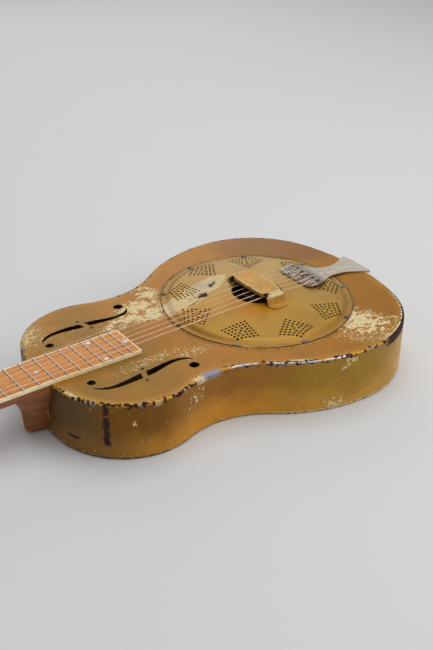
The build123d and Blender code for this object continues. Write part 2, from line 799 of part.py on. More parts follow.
# ---------------------------------------------------------------- neck
def heel_section(length, half_w):
    """Heel section: flat on the body's end, rounded towards the headstock."""
    with BuildSketch(Plane.XY) as section:
        with BuildLine():
            Line((BODY_END_X, -half_w), (BODY_END_X, half_w))
            EllipticalCenterArc((BODY_END_X, 0), length, half_w, start_angle=90, arc_size=180)
        make_face()
    return section.sketch


def shaft_section(half_w, depth):
    """Neck section below the fingerboard: a half ellipse; the sketch's y runs down."""
    with BuildSketch(Plane.XY) as section:
        with BuildLine():
            Line((-half_w, 0), (half_w, 0))
            EllipticalCenterArc((0, 0), half_w, depth, start_angle=0, arc_size=180)
        make_face()
    return section.sketch


def head_face():
    corner_turn = 80
    corner_r = 5.0
    corner_x = HEAD_LENGTH - 9 + corner_r * sin(radians(corner_turn))
    corner_y = HEAD_HALF_W - corner_r * (1 - cos(radians(corner_turn)))
    start = board_half_width(NUT_X)
    with BuildSketch(Plane.XY) as face:
        with BuildLine():
            Polyline((-6, 0), (-6, start), (0, start))
            Spline((0, start), (26, HEAD_HALF_W), tangents=((1, 0), (1, 0)))
            Line((26, HEAD_HALF_W), (HEAD_LENGTH - 9, HEAD_HALF_W))
            JernArc((HEAD_LENGTH - 9, HEAD_HALF_W), (1, 0), corner_r, -corner_turn)
            ThreePointArc((corner_x, corner_y), (HEAD_LENGTH - 1, 14), (HEAD_LENGTH, 0))
            mirror(about=Plane.XZ)
        make_face()
    return face.sketch


def make_neck():
    stations = ((0.6, 20.5), (60.0, 19.6), (NUT_U + 8, 16.2))
    heel_levels = (
        (3.0, 23.5, 7.5),
        (24.0, 27.0, 11.5),
        (42.0, 31.5, 17.5),
        (55.0, 42.0, 23.0),
        (70.0, 62.0, 27.4),
    )
    with BuildPart() as neck:
        for u, depth in stations:
            x = BODY_END_X - min(u, NUT_U)
            origin = NECK_PLANE.from_local_coords((u, 0, 0))
            with BuildSketch(Plane(origin=origin, x_dir=(0, 1, 0), z_dir=NECK_PLANE.x_dir)):
                add(shaft_section(board_half_width(x), depth))
        loft()
        for level, length, half_w in heel_levels:
            with BuildSketch(Plane.XY.offset(level)):
                add(heel_section(length, half_w))
        loft()
        with BuildSketch(HEAD_PLANE):
            add(head_face())
        extrude(amount=-HEAD_T)
        with BuildSketch(HEAD_PLANE.offset(-HEAD_T)):
            for side in (-1, 1):
                with Locations(((SLOT_FROM + SLOT_TO) / 2, side * SLOT_Y)):
                    SlotOverall(SLOT_TO - SLOT_FROM, SLOT_W)
        extrude(amount=2 * HEAD_T, mode=Mode.SUBTRACT)
        with BuildSketch(HEAD_PLANE):
            with Locations((40, 0)):
                Rectangle(80, 90)
        extrude(amount=12, mode=Mode.SUBTRACT)
        with BuildSketch(NECK_PLANE):
            with Locations((NUT_U / 2, 0)):
                Rectangle(NUT_U + 2 * NUT_T, 90)
        extrude(amount=30, mode=Mode.SUBTRACT)
        for s in TUNER_STATIONS:
            for side in (-1, 1):
                centre = HEAD_PLANE.from_local_coords((s, side * 4.0, MID_W))
                with BuildSketch(Plane(origin=centre, x_dir=(1, 0, 0), z_dir=(0, -side, 0))):
                    Circle(AXLE_R + RUNNING_GAP)
                extrude(amount=40, mode=Mode.SUBTRACT)
        for s in PLATE_SCREWS:
            for side in (-1, 1):
                centre = HEAD_PLANE.from_local_coords((s, side * (HEAD_HALF_W - 6.6), MID_W))
                with BuildSketch(Plane(origin=centre, x_dir=(1, 0, 0), z_dir=(0, -side, 0))):
                    Circle(1.3)
                extrude(amount=12, mode=Mode.SUBTRACT)
    save(neck.part, "neck")


# ---------------------------------------------------------------- tuners
def tuner_plane(n):
    """Frame of tuner n: origin on the head's mid plane at its station, x to the head's end, z out of
    the face, y outward on the tuner's own side.  Strings 1 to 3 are on the treble side."""
    s = TUNER_STATIONS[n] if n < 3 else TUNER_STATIONS[5 - n]
    side = -1 if n < 3 else 1
    return s, side


def worm_location(n):
    s, side = tuner_plane(n)
    return HEAD_PLANE.location * Location((s + CENTRE_DISTANCE, side * MESH_Y, MID_W))


def make_tuner_plate(side, name):
    inner = side * HEAD_HALF_W
    outer = side * (HEAD_HALF_W + PLATE_T)
    ear_from = HEAD_HALF_W + PLATE_T / 2
    ear_to = MESH_Y + 2.8
    with BuildPart(HEAD_PLANE) as plate:
        with Locations(((TUNER_STATIONS[0] + TUNER_STATIONS[-1]) / 2, (inner + outer) / 2, MID_W)):
            Box(112, PLATE_T, 13)
        fillet(plate.edges().filter_by(Axis.Y), 3)
        for s in TUNER_STATIONS:
            for w in (-5.8, 5.8):
                with Locations((s + CENTRE_DISTANCE, side * (ear_from + ear_to) / 2, MID_W + w)):
                    Box(6, ear_to - ear_from, 1.2)
            with Locations((s + CENTRE_DISTANCE, side * MESH_Y, MID_W)):
                Cylinder(1.5 + RUNNING_GAP, 20, mode=Mode.SUBTRACT)
            with Locations((s, side * HEAD_HALF_W, MID_W)):
                Cylinder(AXLE_R + RUNNING_GAP, 10, rotation=(90, 0, 0), mode=Mode.SUBTRACT)
        for s in PLATE_SCREWS:
            with Locations((s, side * HEAD_HALF_W, MID_W)):
                Cylinder(1.3, 10, rotation=(90, 0, 0), mode=Mode.SUBTRACT)
    save(plate.part, name)


def make_tuner_plate_screws():
    screw = slotted_screw(2.2, 1.2, 1.25, 7)
    with BuildPart() as screws:
        for s in PLATE_SCREWS:
            for side in (-1, 1):
                spot = Location((s, side * (HEAD_HALF_W + PLATE_T), MID_W), (-90 * side, 0, 0))
                with Locations(HEAD_PLANE.location * spot):
                    add(screw)
    save(screws.part, "tuner_plate_screws")


def make_roller(n):
    s, side = tuner_plane(n)
    spot = HEAD_PLANE.location * Location((s, 0, MID_W), (-90 * side, 0, 0))
    with BuildPart() as roller:
        with Locations(spot):
            with Locations((0, 0, 4.3)):
                Cylinder(AXLE_R, MESH_Y - 1.4 - 4.3, align=(Align.CENTER, Align.CENTER, Align.MIN))
            with Locations((0, 0, SLOT_Y)):
                Cylinder(4.9, SLOT_W - 0.6)
            with Locations((0, 0, MESH_Y - 1.4)):
                Cylinder(2, 2.6, align=(Align.CENTER, Align.CENTER, Align.MIN))
    save(roller.part, f"string_roller_{n + 1}")


def gear_outline():
    """Straight-sided teeth, one centred on the worm's side."""
    tip_r = GEAR_PITCH_R + 0.6
    root_r = GEAR_PITCH_R - 0.8
    half_tip = 0.17
    half_root = 0.6
    points = []
    for k in range(GEAR_TEETH):
        middle = 2 * pi * k / GEAR_TEETH
        flank = ((root_r, -half_root), (tip_r, -half_tip), (tip_r, half_tip), (root_r, half_root))
        for radius, half in flank:
            angle = middle + half / radius
            points.append((radius * cos(angle), radius * sin(angle)))
    Polygon(*points, align=None)


def make_gear(n):
    s, side = tuner_plane(n)
    origin = HEAD_PLANE.from_local_coords((s, side * (MESH_Y - 1.2), MID_W))
    with BuildPart() as gear:
        with BuildSketch(Plane(origin=origin, x_dir=HEAD_PLANE.x_dir, z_dir=(0, -side, 0))):
            gear_outline()
            Circle(2, mode=Mode.SUBTRACT)
        extrude(amount=2.4)
        with BuildSketch(Plane(origin=origin, x_dir=HEAD_PLANE.x_dir, z_dir=(0, -side, 0)).offset(2.4)):
            Circle(2.9)
        extrude(amount=1.2)
        with BuildSketch(Plane(origin=origin, x_dir=HEAD_PLANE.x_dir, z_dir=(0, -side, 0)).offset(2.9)):
            Rectangle(7, 0.7)
        extrude(amount=2, mode=Mode.SUBTRACT)
    save(gear.part, f"tuner_gear_{n + 1}")


def worm_blank():
    """Worm shaft at the origin: right-hand thread of four turns, journals, a stem to the button."""
    root_r = WORM_PITCH_R - 0.75
    with BuildPart() as worm:
        Cylinder(root_r, 10)
        with Locations((0, 0, 5)):
            Cylinder(1.5, 2.2, align=(Align.CENTER, Align.CENTER, Align.MIN))
        with Locations((0, 0, -5)):
            Cylinder(1.5, 10, align=(Align.CENTER, Align.CENTER, Align.MAX))
        with BuildLine() as path:
            Helix(GEAR_PITCH, 4 * GEAR_PITCH, root_r - 0.1, center=(0, 0, -2 * GEAR_PITCH))
        with BuildSketch(Plane(origin=path.line @ 0, x_dir=(1, 0, 0), z_dir=(0, 1, 0))):
            Polygon((0, -0.6), (1.5, -0.17), (1.5, 0.17), (0, 0.6), align=None)
        sweep(path=path.line, is_frenet=True)
    return worm.part


def make_worm(n, blank):
    with BuildPart() as worm:
        with Locations(worm_location(n)):
            add(blank)
    save(worm.part, f"tuner_worm_{n + 1}")


def button_blank():
    """Flat oval button with a short collar, hanging below the worm's centre."""
    with BuildPart() as button:
        with BuildSketch(Plane.XZ):
            with Locations((0, -17.4)):
                Ellipse(8.4, 6.4)
        extrude(amount=3.7, both=True)
        fillet(button.edges(), 1.6)
        with Locations((0, 0, -9.2)):
            Cylinder(2.9, 3.6, align=(Align.CENTER, Align.CENTER, Align.MAX))
        with Locations((0, 0, -15)):
            Cylinder(1.5, 12, align=(Align.CENTER, Align.CENTER, Align.MIN), mode=Mode.SUBTRACT)
    return button.part


def make_button(n, blank):
    with BuildPart() as button:
        with Locations(worm_location(n)):
            add(blank)
    save(button.part, f"tuner_button_{n + 1}")


# ---------------------------------------------------------------- strings
def string_y(n, spread):
    return spread / 2 - n * spread / 5


def make_string(n):
    r = STRING_RADII[n]
    s, side = tuner_plane(n)
    roller_y = side * (SLOT_Y + (4.2, 0, -1.5)[TUNER_STATIONS.index(s)])
    nut_y = -string_y(n, SPREAD_NUT)
    nut_z = BOARD_T + NUT_RISE + r + 0.05
    ball = Vector(BALL_X, hook_y(n), BALL_Z)
    hook = Vector(HOOK_TIP_X + 0.9, hook_y(n), 89.7 + r)
    points = (
        ball + (hook - ball).normalized() * (BALL_R + r),
        hook,
        Vector(0, string_y(n, SPREAD_SADDLE), SADDLE_TOP + r + 0.05),
        NECK_PLANE.from_local_coords((NUT_U + 0.5, nut_y, nut_z)),
        NECK_PLANE.from_local_coords((NUT_U + NUT_T - 1.6, nut_y, nut_z)),
        HEAD_PLANE.from_local_coords((s, roller_y, MID_W + 4.95 + r)),
    )
    with BuildPart() as string:
        for a, b in zip(points, points[1:]):
            direction = b - a
            with BuildSketch(Plane(origin=a, z_dir=direction)):
                Circle(r)
            extrude(amount=direction.length)
        for joint in points[1:-1]:
            with Locations(joint):
                Sphere(r)
    save(string.part, f"string_{n + 1}")


# ---------------------------------------------------------------- build everything
make_body_top()
make_body_sides()
make_body_back()
make_soundwell()
make_cone()
make_biscuit()
make_saddle()
make_cone_screw()
make_coverplate()
make_coverplate_screws()
make_handrest()
make_tailpiece()
make_tailpiece_bracket()
make_tailpiece_pin()
make_tailpiece_screws()
make_end_pin()
make_ball_ends()
make_neck_stick()
make_neck_block()
make_stick_supports()
make_fingerboard()
make_binding()
make_frets()
make_position_dots()
make_extension_screws()
make_nut()
make_neck()
make_tuner_plate(-1, "tuner_plate_treble")
make_tuner_plate(1, "tuner_plate_bass")
make_tuner_plate_screws()
WORM_BLANK = worm_blank()
BUTTON_BLANK = button_blank()
for tuner in range(6):
    make_roller(tuner)
    make_gear(tuner)
    make_worm(tuner, WORM_BLANK)
    make_button(tuner, BUTTON_BLANK)
    make_string(tuner)
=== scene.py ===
"""Looks for the resonator guitar: worn sunburst enamel over steel, dulled nickel, open-grained wood."""
import json
import math

import bpy
import numpy as np
from mathutils import Matrix, Vector


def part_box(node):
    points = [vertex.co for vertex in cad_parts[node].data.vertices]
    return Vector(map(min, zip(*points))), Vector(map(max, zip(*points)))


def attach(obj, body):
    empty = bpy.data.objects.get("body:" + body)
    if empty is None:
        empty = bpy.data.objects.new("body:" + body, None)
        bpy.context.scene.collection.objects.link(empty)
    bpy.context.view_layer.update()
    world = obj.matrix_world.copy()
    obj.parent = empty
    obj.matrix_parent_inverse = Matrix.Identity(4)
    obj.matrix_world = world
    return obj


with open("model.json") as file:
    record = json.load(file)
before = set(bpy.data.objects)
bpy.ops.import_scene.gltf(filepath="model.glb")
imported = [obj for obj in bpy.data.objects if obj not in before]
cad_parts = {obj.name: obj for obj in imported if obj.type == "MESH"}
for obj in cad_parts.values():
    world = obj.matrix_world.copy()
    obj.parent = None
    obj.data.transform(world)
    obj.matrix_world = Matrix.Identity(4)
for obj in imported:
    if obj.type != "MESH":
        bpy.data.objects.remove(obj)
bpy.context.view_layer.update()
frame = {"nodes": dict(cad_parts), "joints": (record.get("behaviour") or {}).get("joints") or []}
nodes = frame["nodes"]
joints = {j["name"]: j for j in frame["joints"]}


# ---------------------------------------------------------------- node graph helper
def srgb(r, g, b):
    """Linear colour of an 8-bit sRGB triple."""
    out = []
    for c in (r, g, b):
        c = c / 255
        out.append(c / 12.92 if c <= 0.04045 else ((c + 0.055) / 1.055) ** 2.4)
    return (*out, 1.0)


class Graph:
    """Thin wrapper that adds nodes to one material and returns their output sockets."""

    def __init__(self, name):
        self.material = bpy.data.materials.new(name)
        self.material.use_nodes = True
        self.tree = self.material.node_tree
        self.tree.nodes.clear()
        self.output = self.tree.nodes.new("ShaderNodeOutputMaterial")
        self.shader = self.tree.nodes.new("ShaderNodeBsdfPrincipled")
        self.tree.links.new(self.shader.outputs[0], self.output.inputs[0])
        coordinates = self.tree.nodes.new("ShaderNodeTexCoord")
        self.p = self.vector("SCALE", coordinates.outputs["Object"], scale=1000.0)
        split = self.tree.nodes.new("ShaderNodeSeparateXYZ")
        self.tree.links.new(self.p, split.inputs[0])
        self.x, self.y, self.z = split.outputs
        facing = self.tree.nodes.new("ShaderNodeSeparateXYZ")
        self.tree.links.new(coordinates.outputs["Normal"], facing.inputs[0])
        self.nx, _, self.nz = facing.outputs

    def put(self, socket, value):
        if isinstance(value, bpy.types.NodeSocket):
            self.tree.links.new(value, socket)
        else:
            socket.default_value = value

    def math(self, op, a, b=0.0, c=0.0):
        n = self.tree.nodes.new("ShaderNodeMath")
        n.operation = op
        for socket, value in zip(n.inputs, (a, b, c)):
            self.put(socket, value)
        return n.outputs[0]

    def add(self, a, b):
        return self.math("ADD", a, b)

    def mul(self, a, b):
        return self.math("MULTIPLY", a, b)

    def less(self, a, b):
        return self.math("SUBTRACT", a, b)

    def most(self, *values):
        out = values[0]
        for v in values[1:]:
            out = self.math("MAXIMUM", out, v)
        return out

    def vector(self, op, a, b=None, scale=None):
        n = self.tree.nodes.new("ShaderNodeVectorMath")
        n.operation = op
        self.put(n.inputs[0], a)
        if b is not None:
            self.put(n.inputs[1], b)
        if scale is not None:
            self.put(n.inputs["Scale"], scale)
        return n.outputs["Value"] if op in ("LENGTH", "DOT_PRODUCT") else n.outputs[0]

    def stretch(self, scale, shift=(0, 0, 0), turn=0.0, source=None):
        """Coordinates moved, turned about Z and multiplied: for grain, streaks and brushed lines."""
        n = self.tree.nodes.new("ShaderNodeMapping")
        self.put(n.inputs["Vector"], source or self.p)
        n.inputs["Location"].default_value = shift
        n.inputs["Rotation"].default_value = (0, 0, turn)
        n.inputs["Scale"].default_value = scale
        return n.outputs[0]

    def noise(self, scale, detail=4.0, rough=0.55, source=None, warp=0.0):
        n = self.tree.nodes.new("ShaderNodeTexNoise")
        self.put(n.inputs["Vector"], source or self.p)
        n.inputs["Scale"].default_value = scale
        n.inputs["Detail"].default_value = detail
        n.inputs["Roughness"].default_value = rough
        n.inputs["Distortion"].default_value = warp
        return n.outputs["Fac"]

    def smooth(self, value, low, high):
        """0 below low, 1 above high, smooth between; low may be the larger one."""
        n = self.tree.nodes.new("ShaderNodeMapRange")
        n.interpolation_type = "SMOOTHSTEP"
        flip = low > high
        self.put(n.inputs["Value"], value)
        n.inputs["From Min"].default_value = min(low, high)
        n.inputs["From Max"].default_value = max(low, high)
        n.inputs["To Min"].default_value = 1.0 if flip else 0.0
        n.inputs["To Max"].default_value = 0.0 if flip else 1.0
        return n.outputs[0]

    def mix(self, factor, a, b):
        n = self.tree.nodes.new("ShaderNodeMix")
        n.data_type = "RGBA"
        self.put(n.inputs[0], factor)
        self.put(n.inputs[6], a)
        self.put(n.inputs[7], b)
        return n.outputs[2]

    def blend(self, factor, a, b):
        """Number between a and b."""
        n = self.tree.nodes.new("ShaderNodeMix")
        n.data_type = "FLOAT"
        self.put(n.inputs[0], factor)
        self.put(n.inputs[2], a)
        self.put(n.inputs[3], b)
        return n.outputs[0]

    def patch(self, x, y, rx, ry, turn=0.0, soft=0.3, source=None):
        """1 inside an ellipse on the plan, 0 outside, with a soft border."""
        n = self.tree.nodes.new("ShaderNodeMapping")
        n.vector_type = "TEXTURE"
        self.put(n.inputs["Vector"], source or self.p)
        n.inputs["Location"].default_value = (x, y, 0)
        n.inputs["Rotation"].default_value = (0, 0, math.radians(turn))
        n.inputs["Scale"].default_value = (rx, ry, 1e5)
        return self.smooth(self.vector("LENGTH", n.outputs[0]), 1 + soft, 1 - soft)

    def patches(self, places, source=None):
        """1 inside any of several ellipses; each place holds the arguments of patch."""
        return self.most(*(self.patch(*place, source=source) for place in places))

    def absolute(self, value):
        return self.math("ABSOLUTE", value)

    def invert(self, value):
        return self.less(1.0, value)

    def length(self, a, b):
        return self.math("SQRT", self.add(self.mul(a, a), self.mul(b, b)))

    def wander(self, scale):
        """Slow vector noise about zero, for borders that aren't smooth."""
        n = self.tree.nodes.new("ShaderNodeTexNoise")
        self.put(n.inputs["Vector"], self.p)
        n.inputs["Scale"].default_value = scale
        n.inputs["Detail"].default_value = 3.0
        return self.vector("SUBTRACT", n.outputs["Color"], (0.5, 0.5, 0.5))

    def shifted(self, base, shake, amount):
        return self.vector("ADD", base, self.vector("SCALE", shake, scale=amount))

    def window(self, value, low, high, soft):
        """1 between low and high, 0 outside, with borders as wide as soft."""
        rise = self.smooth(value, low - soft, low + soft)
        return self.mul(rise, self.smooth(value, high + soft, high - soft))

    def curve(self, value, points):
        """Smooth curve through points in the unit square."""
        n = self.tree.nodes.new("ShaderNodeFloatCurve")
        self.put(n.inputs["Value"], value)
        line = n.mapping.curves[0]
        for _ in range(len(points) - 2):
            line.points.new(0.5, 0.5)
        for point, place in zip(line.points, points):
            point.location = place
        n.mapping.update()
        return n.outputs[0]

    def bump(self, height, distance, strength=1.0, normal=None):
        n = self.tree.nodes.new("ShaderNodeBump")
        n.inputs["Strength"].default_value = strength
        n.inputs["Distance"].default_value = distance
        self.put(n.inputs["Height"], height)
        if normal is not None:
            self.put(n.inputs["Normal"], normal)
        return n.outputs[0]

    def finish(self, **values):
        for name, value in values.items():
            self.put(self.shader.inputs[name.replace("_", " ")], value)
        return self.material


# ---------------------------------------------------------------- body outline, read from the side wall
OUTLINE_CENTRE = -0.100
OUTLINE_SCALE = 0.4
OUTLINE_SAMPLES = 60
RIM_ROUND = 1.2


def outline_curves():
    """Radius of the side wall's outer face over the angle about a point at the waist, and the cosine
    between that radius and the wall's normal, both sampled evenly over half a turn."""
    mesh = nodes["body_sides"].data
    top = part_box("body_sides")[1].z
    found = []
    for face in mesh.polygons:
        if abs(face.normal.z) > 0.2:
            continue
        for i in face.vertices:
            co = mesh.vertices[i].co
            ray = Vector((co.x - OUTLINE_CENTRE, co.y, 0))
            if co.z > top - 1e-4 and co.y > -1e-5 and face.normal.dot(ray) > 0:
                found.append((math.atan2(abs(co.y), ray.x), ray.length, face.normal.dot(ray.normalized())))
    found = np.array(sorted(found))
    outer = []
    for angle, radius, slant in found:
        near = found[abs(found[:, 0] - angle) < 0.02]
        if radius > near[:, 1].max() - 0.006:
            outer.append((angle, radius, slant))
    outer = np.array(outer)
    angles = np.linspace(0, math.pi, OUTLINE_SAMPLES)
    radii = np.interp(angles, outer[:, 0], outer[:, 1]) / OUTLINE_SCALE
    slants = np.interp(angles, outer[:, 0], outer[:, 2])
    unit = angles / math.pi
    return list(zip(unit, radii)), list(zip(unit, slants))


def edge_distance(g):
    """Millimetres from the rim of the top, growing across the top and down the side; and the part of
    that distance that lies in the plan."""
    radii, slants = OUTLINE
    x = g.less(g.x, OUTLINE_CENTRE * 1000)
    y = g.absolute(g.y)
    unit = g.mul(g.math("ARCTAN2", y, x), 1 / math.pi)
    inside = g.less(g.mul(g.curve(unit, radii), OUTLINE_SCALE * 1000), g.length(x, y))
    inside = g.most(g.mul(inside, g.curve(unit, slants)), 0.0)
    below = g.most(g.less(TOP_Z, g.z), 0.0)
    return g.length(inside, below), inside


OUTLINE = outline_curves()
TOP_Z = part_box("body_top")[1].z * 1000 - RIM_ROUND

# ---------------------------------------------------------------- enamel
CREAM = srgb(224, 202, 152)
CREAM_SHADE = srgb(202, 182, 134)
BARE_DARK = srgb(46, 28, 28)
BARE_DARK_LIGHT = srgb(66, 44, 42)
BARE_GREY = srgb(158, 152, 160)
BARE_GREY_DARK = srgb(138, 132, 140)
POLISHED = srgb(206, 200, 202)
SOIL = srgb(92, 62, 24)
BRONZE_POWDER = srgb(222, 176, 96)


def worn(g, paint, cream, dark, grey=None, steel=None, gloss=0.30, metal=0.42):
    """Bronze-powder enamel with its chips: cream is primer, dark and grey are old bare steel,
    steel is the bright line that hands and knees keep rubbing."""
    powder = g.noise(1.1, 4, 0.6)
    soil = g.noise(0.035, 5, 0.6, warp=0.6)
    soiled = g.mix(0.55, paint, SOIL)
    paint = g.mix(g.mul(g.smooth(soil, 0.38, 0.78), 0.4), paint, soiled)
    paint = g.mix(g.mul(g.smooth(powder, 0.45, 0.8), 0.12), paint, BRONZE_POWDER)
    primer = g.mix(g.smooth(g.noise(0.22, 4), 0.35, 0.7), CREAM, CREAM_SHADE)
    old = g.mix(g.smooth(g.noise(0.5, 4), 0.4, 0.65), BARE_DARK, BARE_DARK_LIGHT)
    chipped = g.most(cream, dark, *(mask for mask in (grey, steel) if mask is not None))
    roughness = g.add(gloss, g.mul(g.noise(0.06, 4, 0.6), 0.16))
    roughness = g.blend(chipped, roughness, 0.62)
    metallic = g.most(g.blend(chipped, metal, 0.0), g.mul(dark, 0.1))
    colour = g.mix(cream, paint, primer)
    if grey is not None:
        bare = g.mix(g.smooth(g.noise(0.4, 3), 0.4, 0.65), BARE_GREY, BARE_GREY_DARK)
        colour = g.mix(grey, colour, bare)
        metallic = g.most(metallic, g.mul(grey, 0.5))
    colour = g.mix(dark, colour, old)
    if steel is not None:
        colour = g.mix(steel, colour, POLISHED)
        roughness = g.blend(steel, roughness, 0.24)
        metallic = g.most(metallic, steel)
    height = g.add(g.mul(chipped, -0.6), g.mul(g.noise(0.35, 3), 0.2))
    return g.finish(Base_Color=colour, Roughness=roughness, Metallic=metallic,
                    Specular_IOR_Level=g.blend(dark, 0.32, 0.12), Normal=g.bump(height, 0.00012, 0.9))


# Wear on the body. A place is an ellipse on the plan in millimetres: middle x, middle y, two half-lengths,
# turn in degrees, softness of the border.
KNOCKED = ((-304, -88, 34, 30, 0, 0.5), (-205, -122, 40, 18, 0, 0.4),
           (-50, -150, 60, 36, -30, 0.4), (-318, 40, 14, 26, 0, 0.5))
RUBBED = ((-146, 62, 34, 26, 14, 0.5), (-186, 47, 26, 10, 10, 0.6),
          (-112, 98, 16, 16, 20, 0.6), (-132, 44, 22, 14, 0, 0.5))
LOWER_BOUT = (74, -126, 36, 25, -40, 0.7)
DUSTED = ((-205, -49, 66, 11, 2, 0.7), (-150, -62, 34, 16, 0, 0.7),
          (-296, 78, 26, 30, 0, 0.6), (60, -160, 60, 20, -30, 0.6))
DUSTED_LIGHTLY = (-225, 58, 80, 26, 0, 0.7)
FAR_CORNER = (-296, 85, 26, 9, 40, 0.5)
HEEL_LINE = (-316, -61, 2.6, 16, 14, 0.3)
RIM_CREAM = ((-241, -134, 9, 6, -30, 0.4), (-174, -115, 12, 5, 0, 0.4), (-51, -154, 14, 3.5, -32, 0.4))
# chips on the side wall: place, strength, then the lowest and highest z and how soft that limit is
SIDE_CHIPS = (((-273, -128, 7, 12, 0, 0.4), 1.0, (34, 56, 3)),
              ((-184, -118, 14, 12, 0, 0.7), 0.75, (42, 66, 4)),
              ((6, -183, 16, 12, -10, 0.5), 1.0, (56, 72, 3)),
              ((-16, -182, 20, 14, 10, 0.5), 1.0, (3, 20, 5)))
STRIPE = (-295, -104, 2.7, 26, 0, 0.25)
STRIPE_BREAK_Z = 60.0
HOOK = (-319, -64, 7, 9, 0, 0.3)
HOOK_Z = 21.0
SCRAPE = (122, -138, 68, 32, 38, 0.12)
POLISHED_LINES = ((-115, -120, 18, 9, -22, 0.3), (-60, -152, 34, 9, -31, 0.3), (-14, -173, 15, 7, -20, 0.3))
LILAC = (-159, -113, 13, 7, 0, 0.3)

# Sunburst of the body. On the side wall the first colour is at the neck; each step is where along x the next
# colour starts, where it is full, and the colour.
GOLDEN = srgb(198, 144, 44)
BROWN = srgb(165, 109, 24)
OLIVE = srgb(138, 100, 22)
ORANGE = srgb(170, 112, 22)
FAR_BROWN = srgb(128, 84, 30)
ORANGE_WAIST = (-60, -140, 120, 40, 12)
BROWN_FAR_BOUT = (120, 110, 90, 50, -40)
# side wall tones hold the burst together with painted reflection: darker high on the wall, lighter low down;
# the dark upper bout is partly painted shade
SIDE_HIGH_BURST_AND_REFLECTION = (srgb(94, 68, 28), ((-318, -285, srgb(124, 78, 0)), (-240, -190, srgb(160, 106, 34)),
                                (-130, -20, srgb(164, 124, 36)), (60, 140, srgb(204, 152, 56))))
SIDE_LOW_BURST_AND_REFLECTION = (srgb(142, 100, 40), ((-310, -200, srgb(214, 148, 44)), (-130, -20, srgb(204, 152, 60)),
                                 (60, 150, srgb(228, 168, 66))))


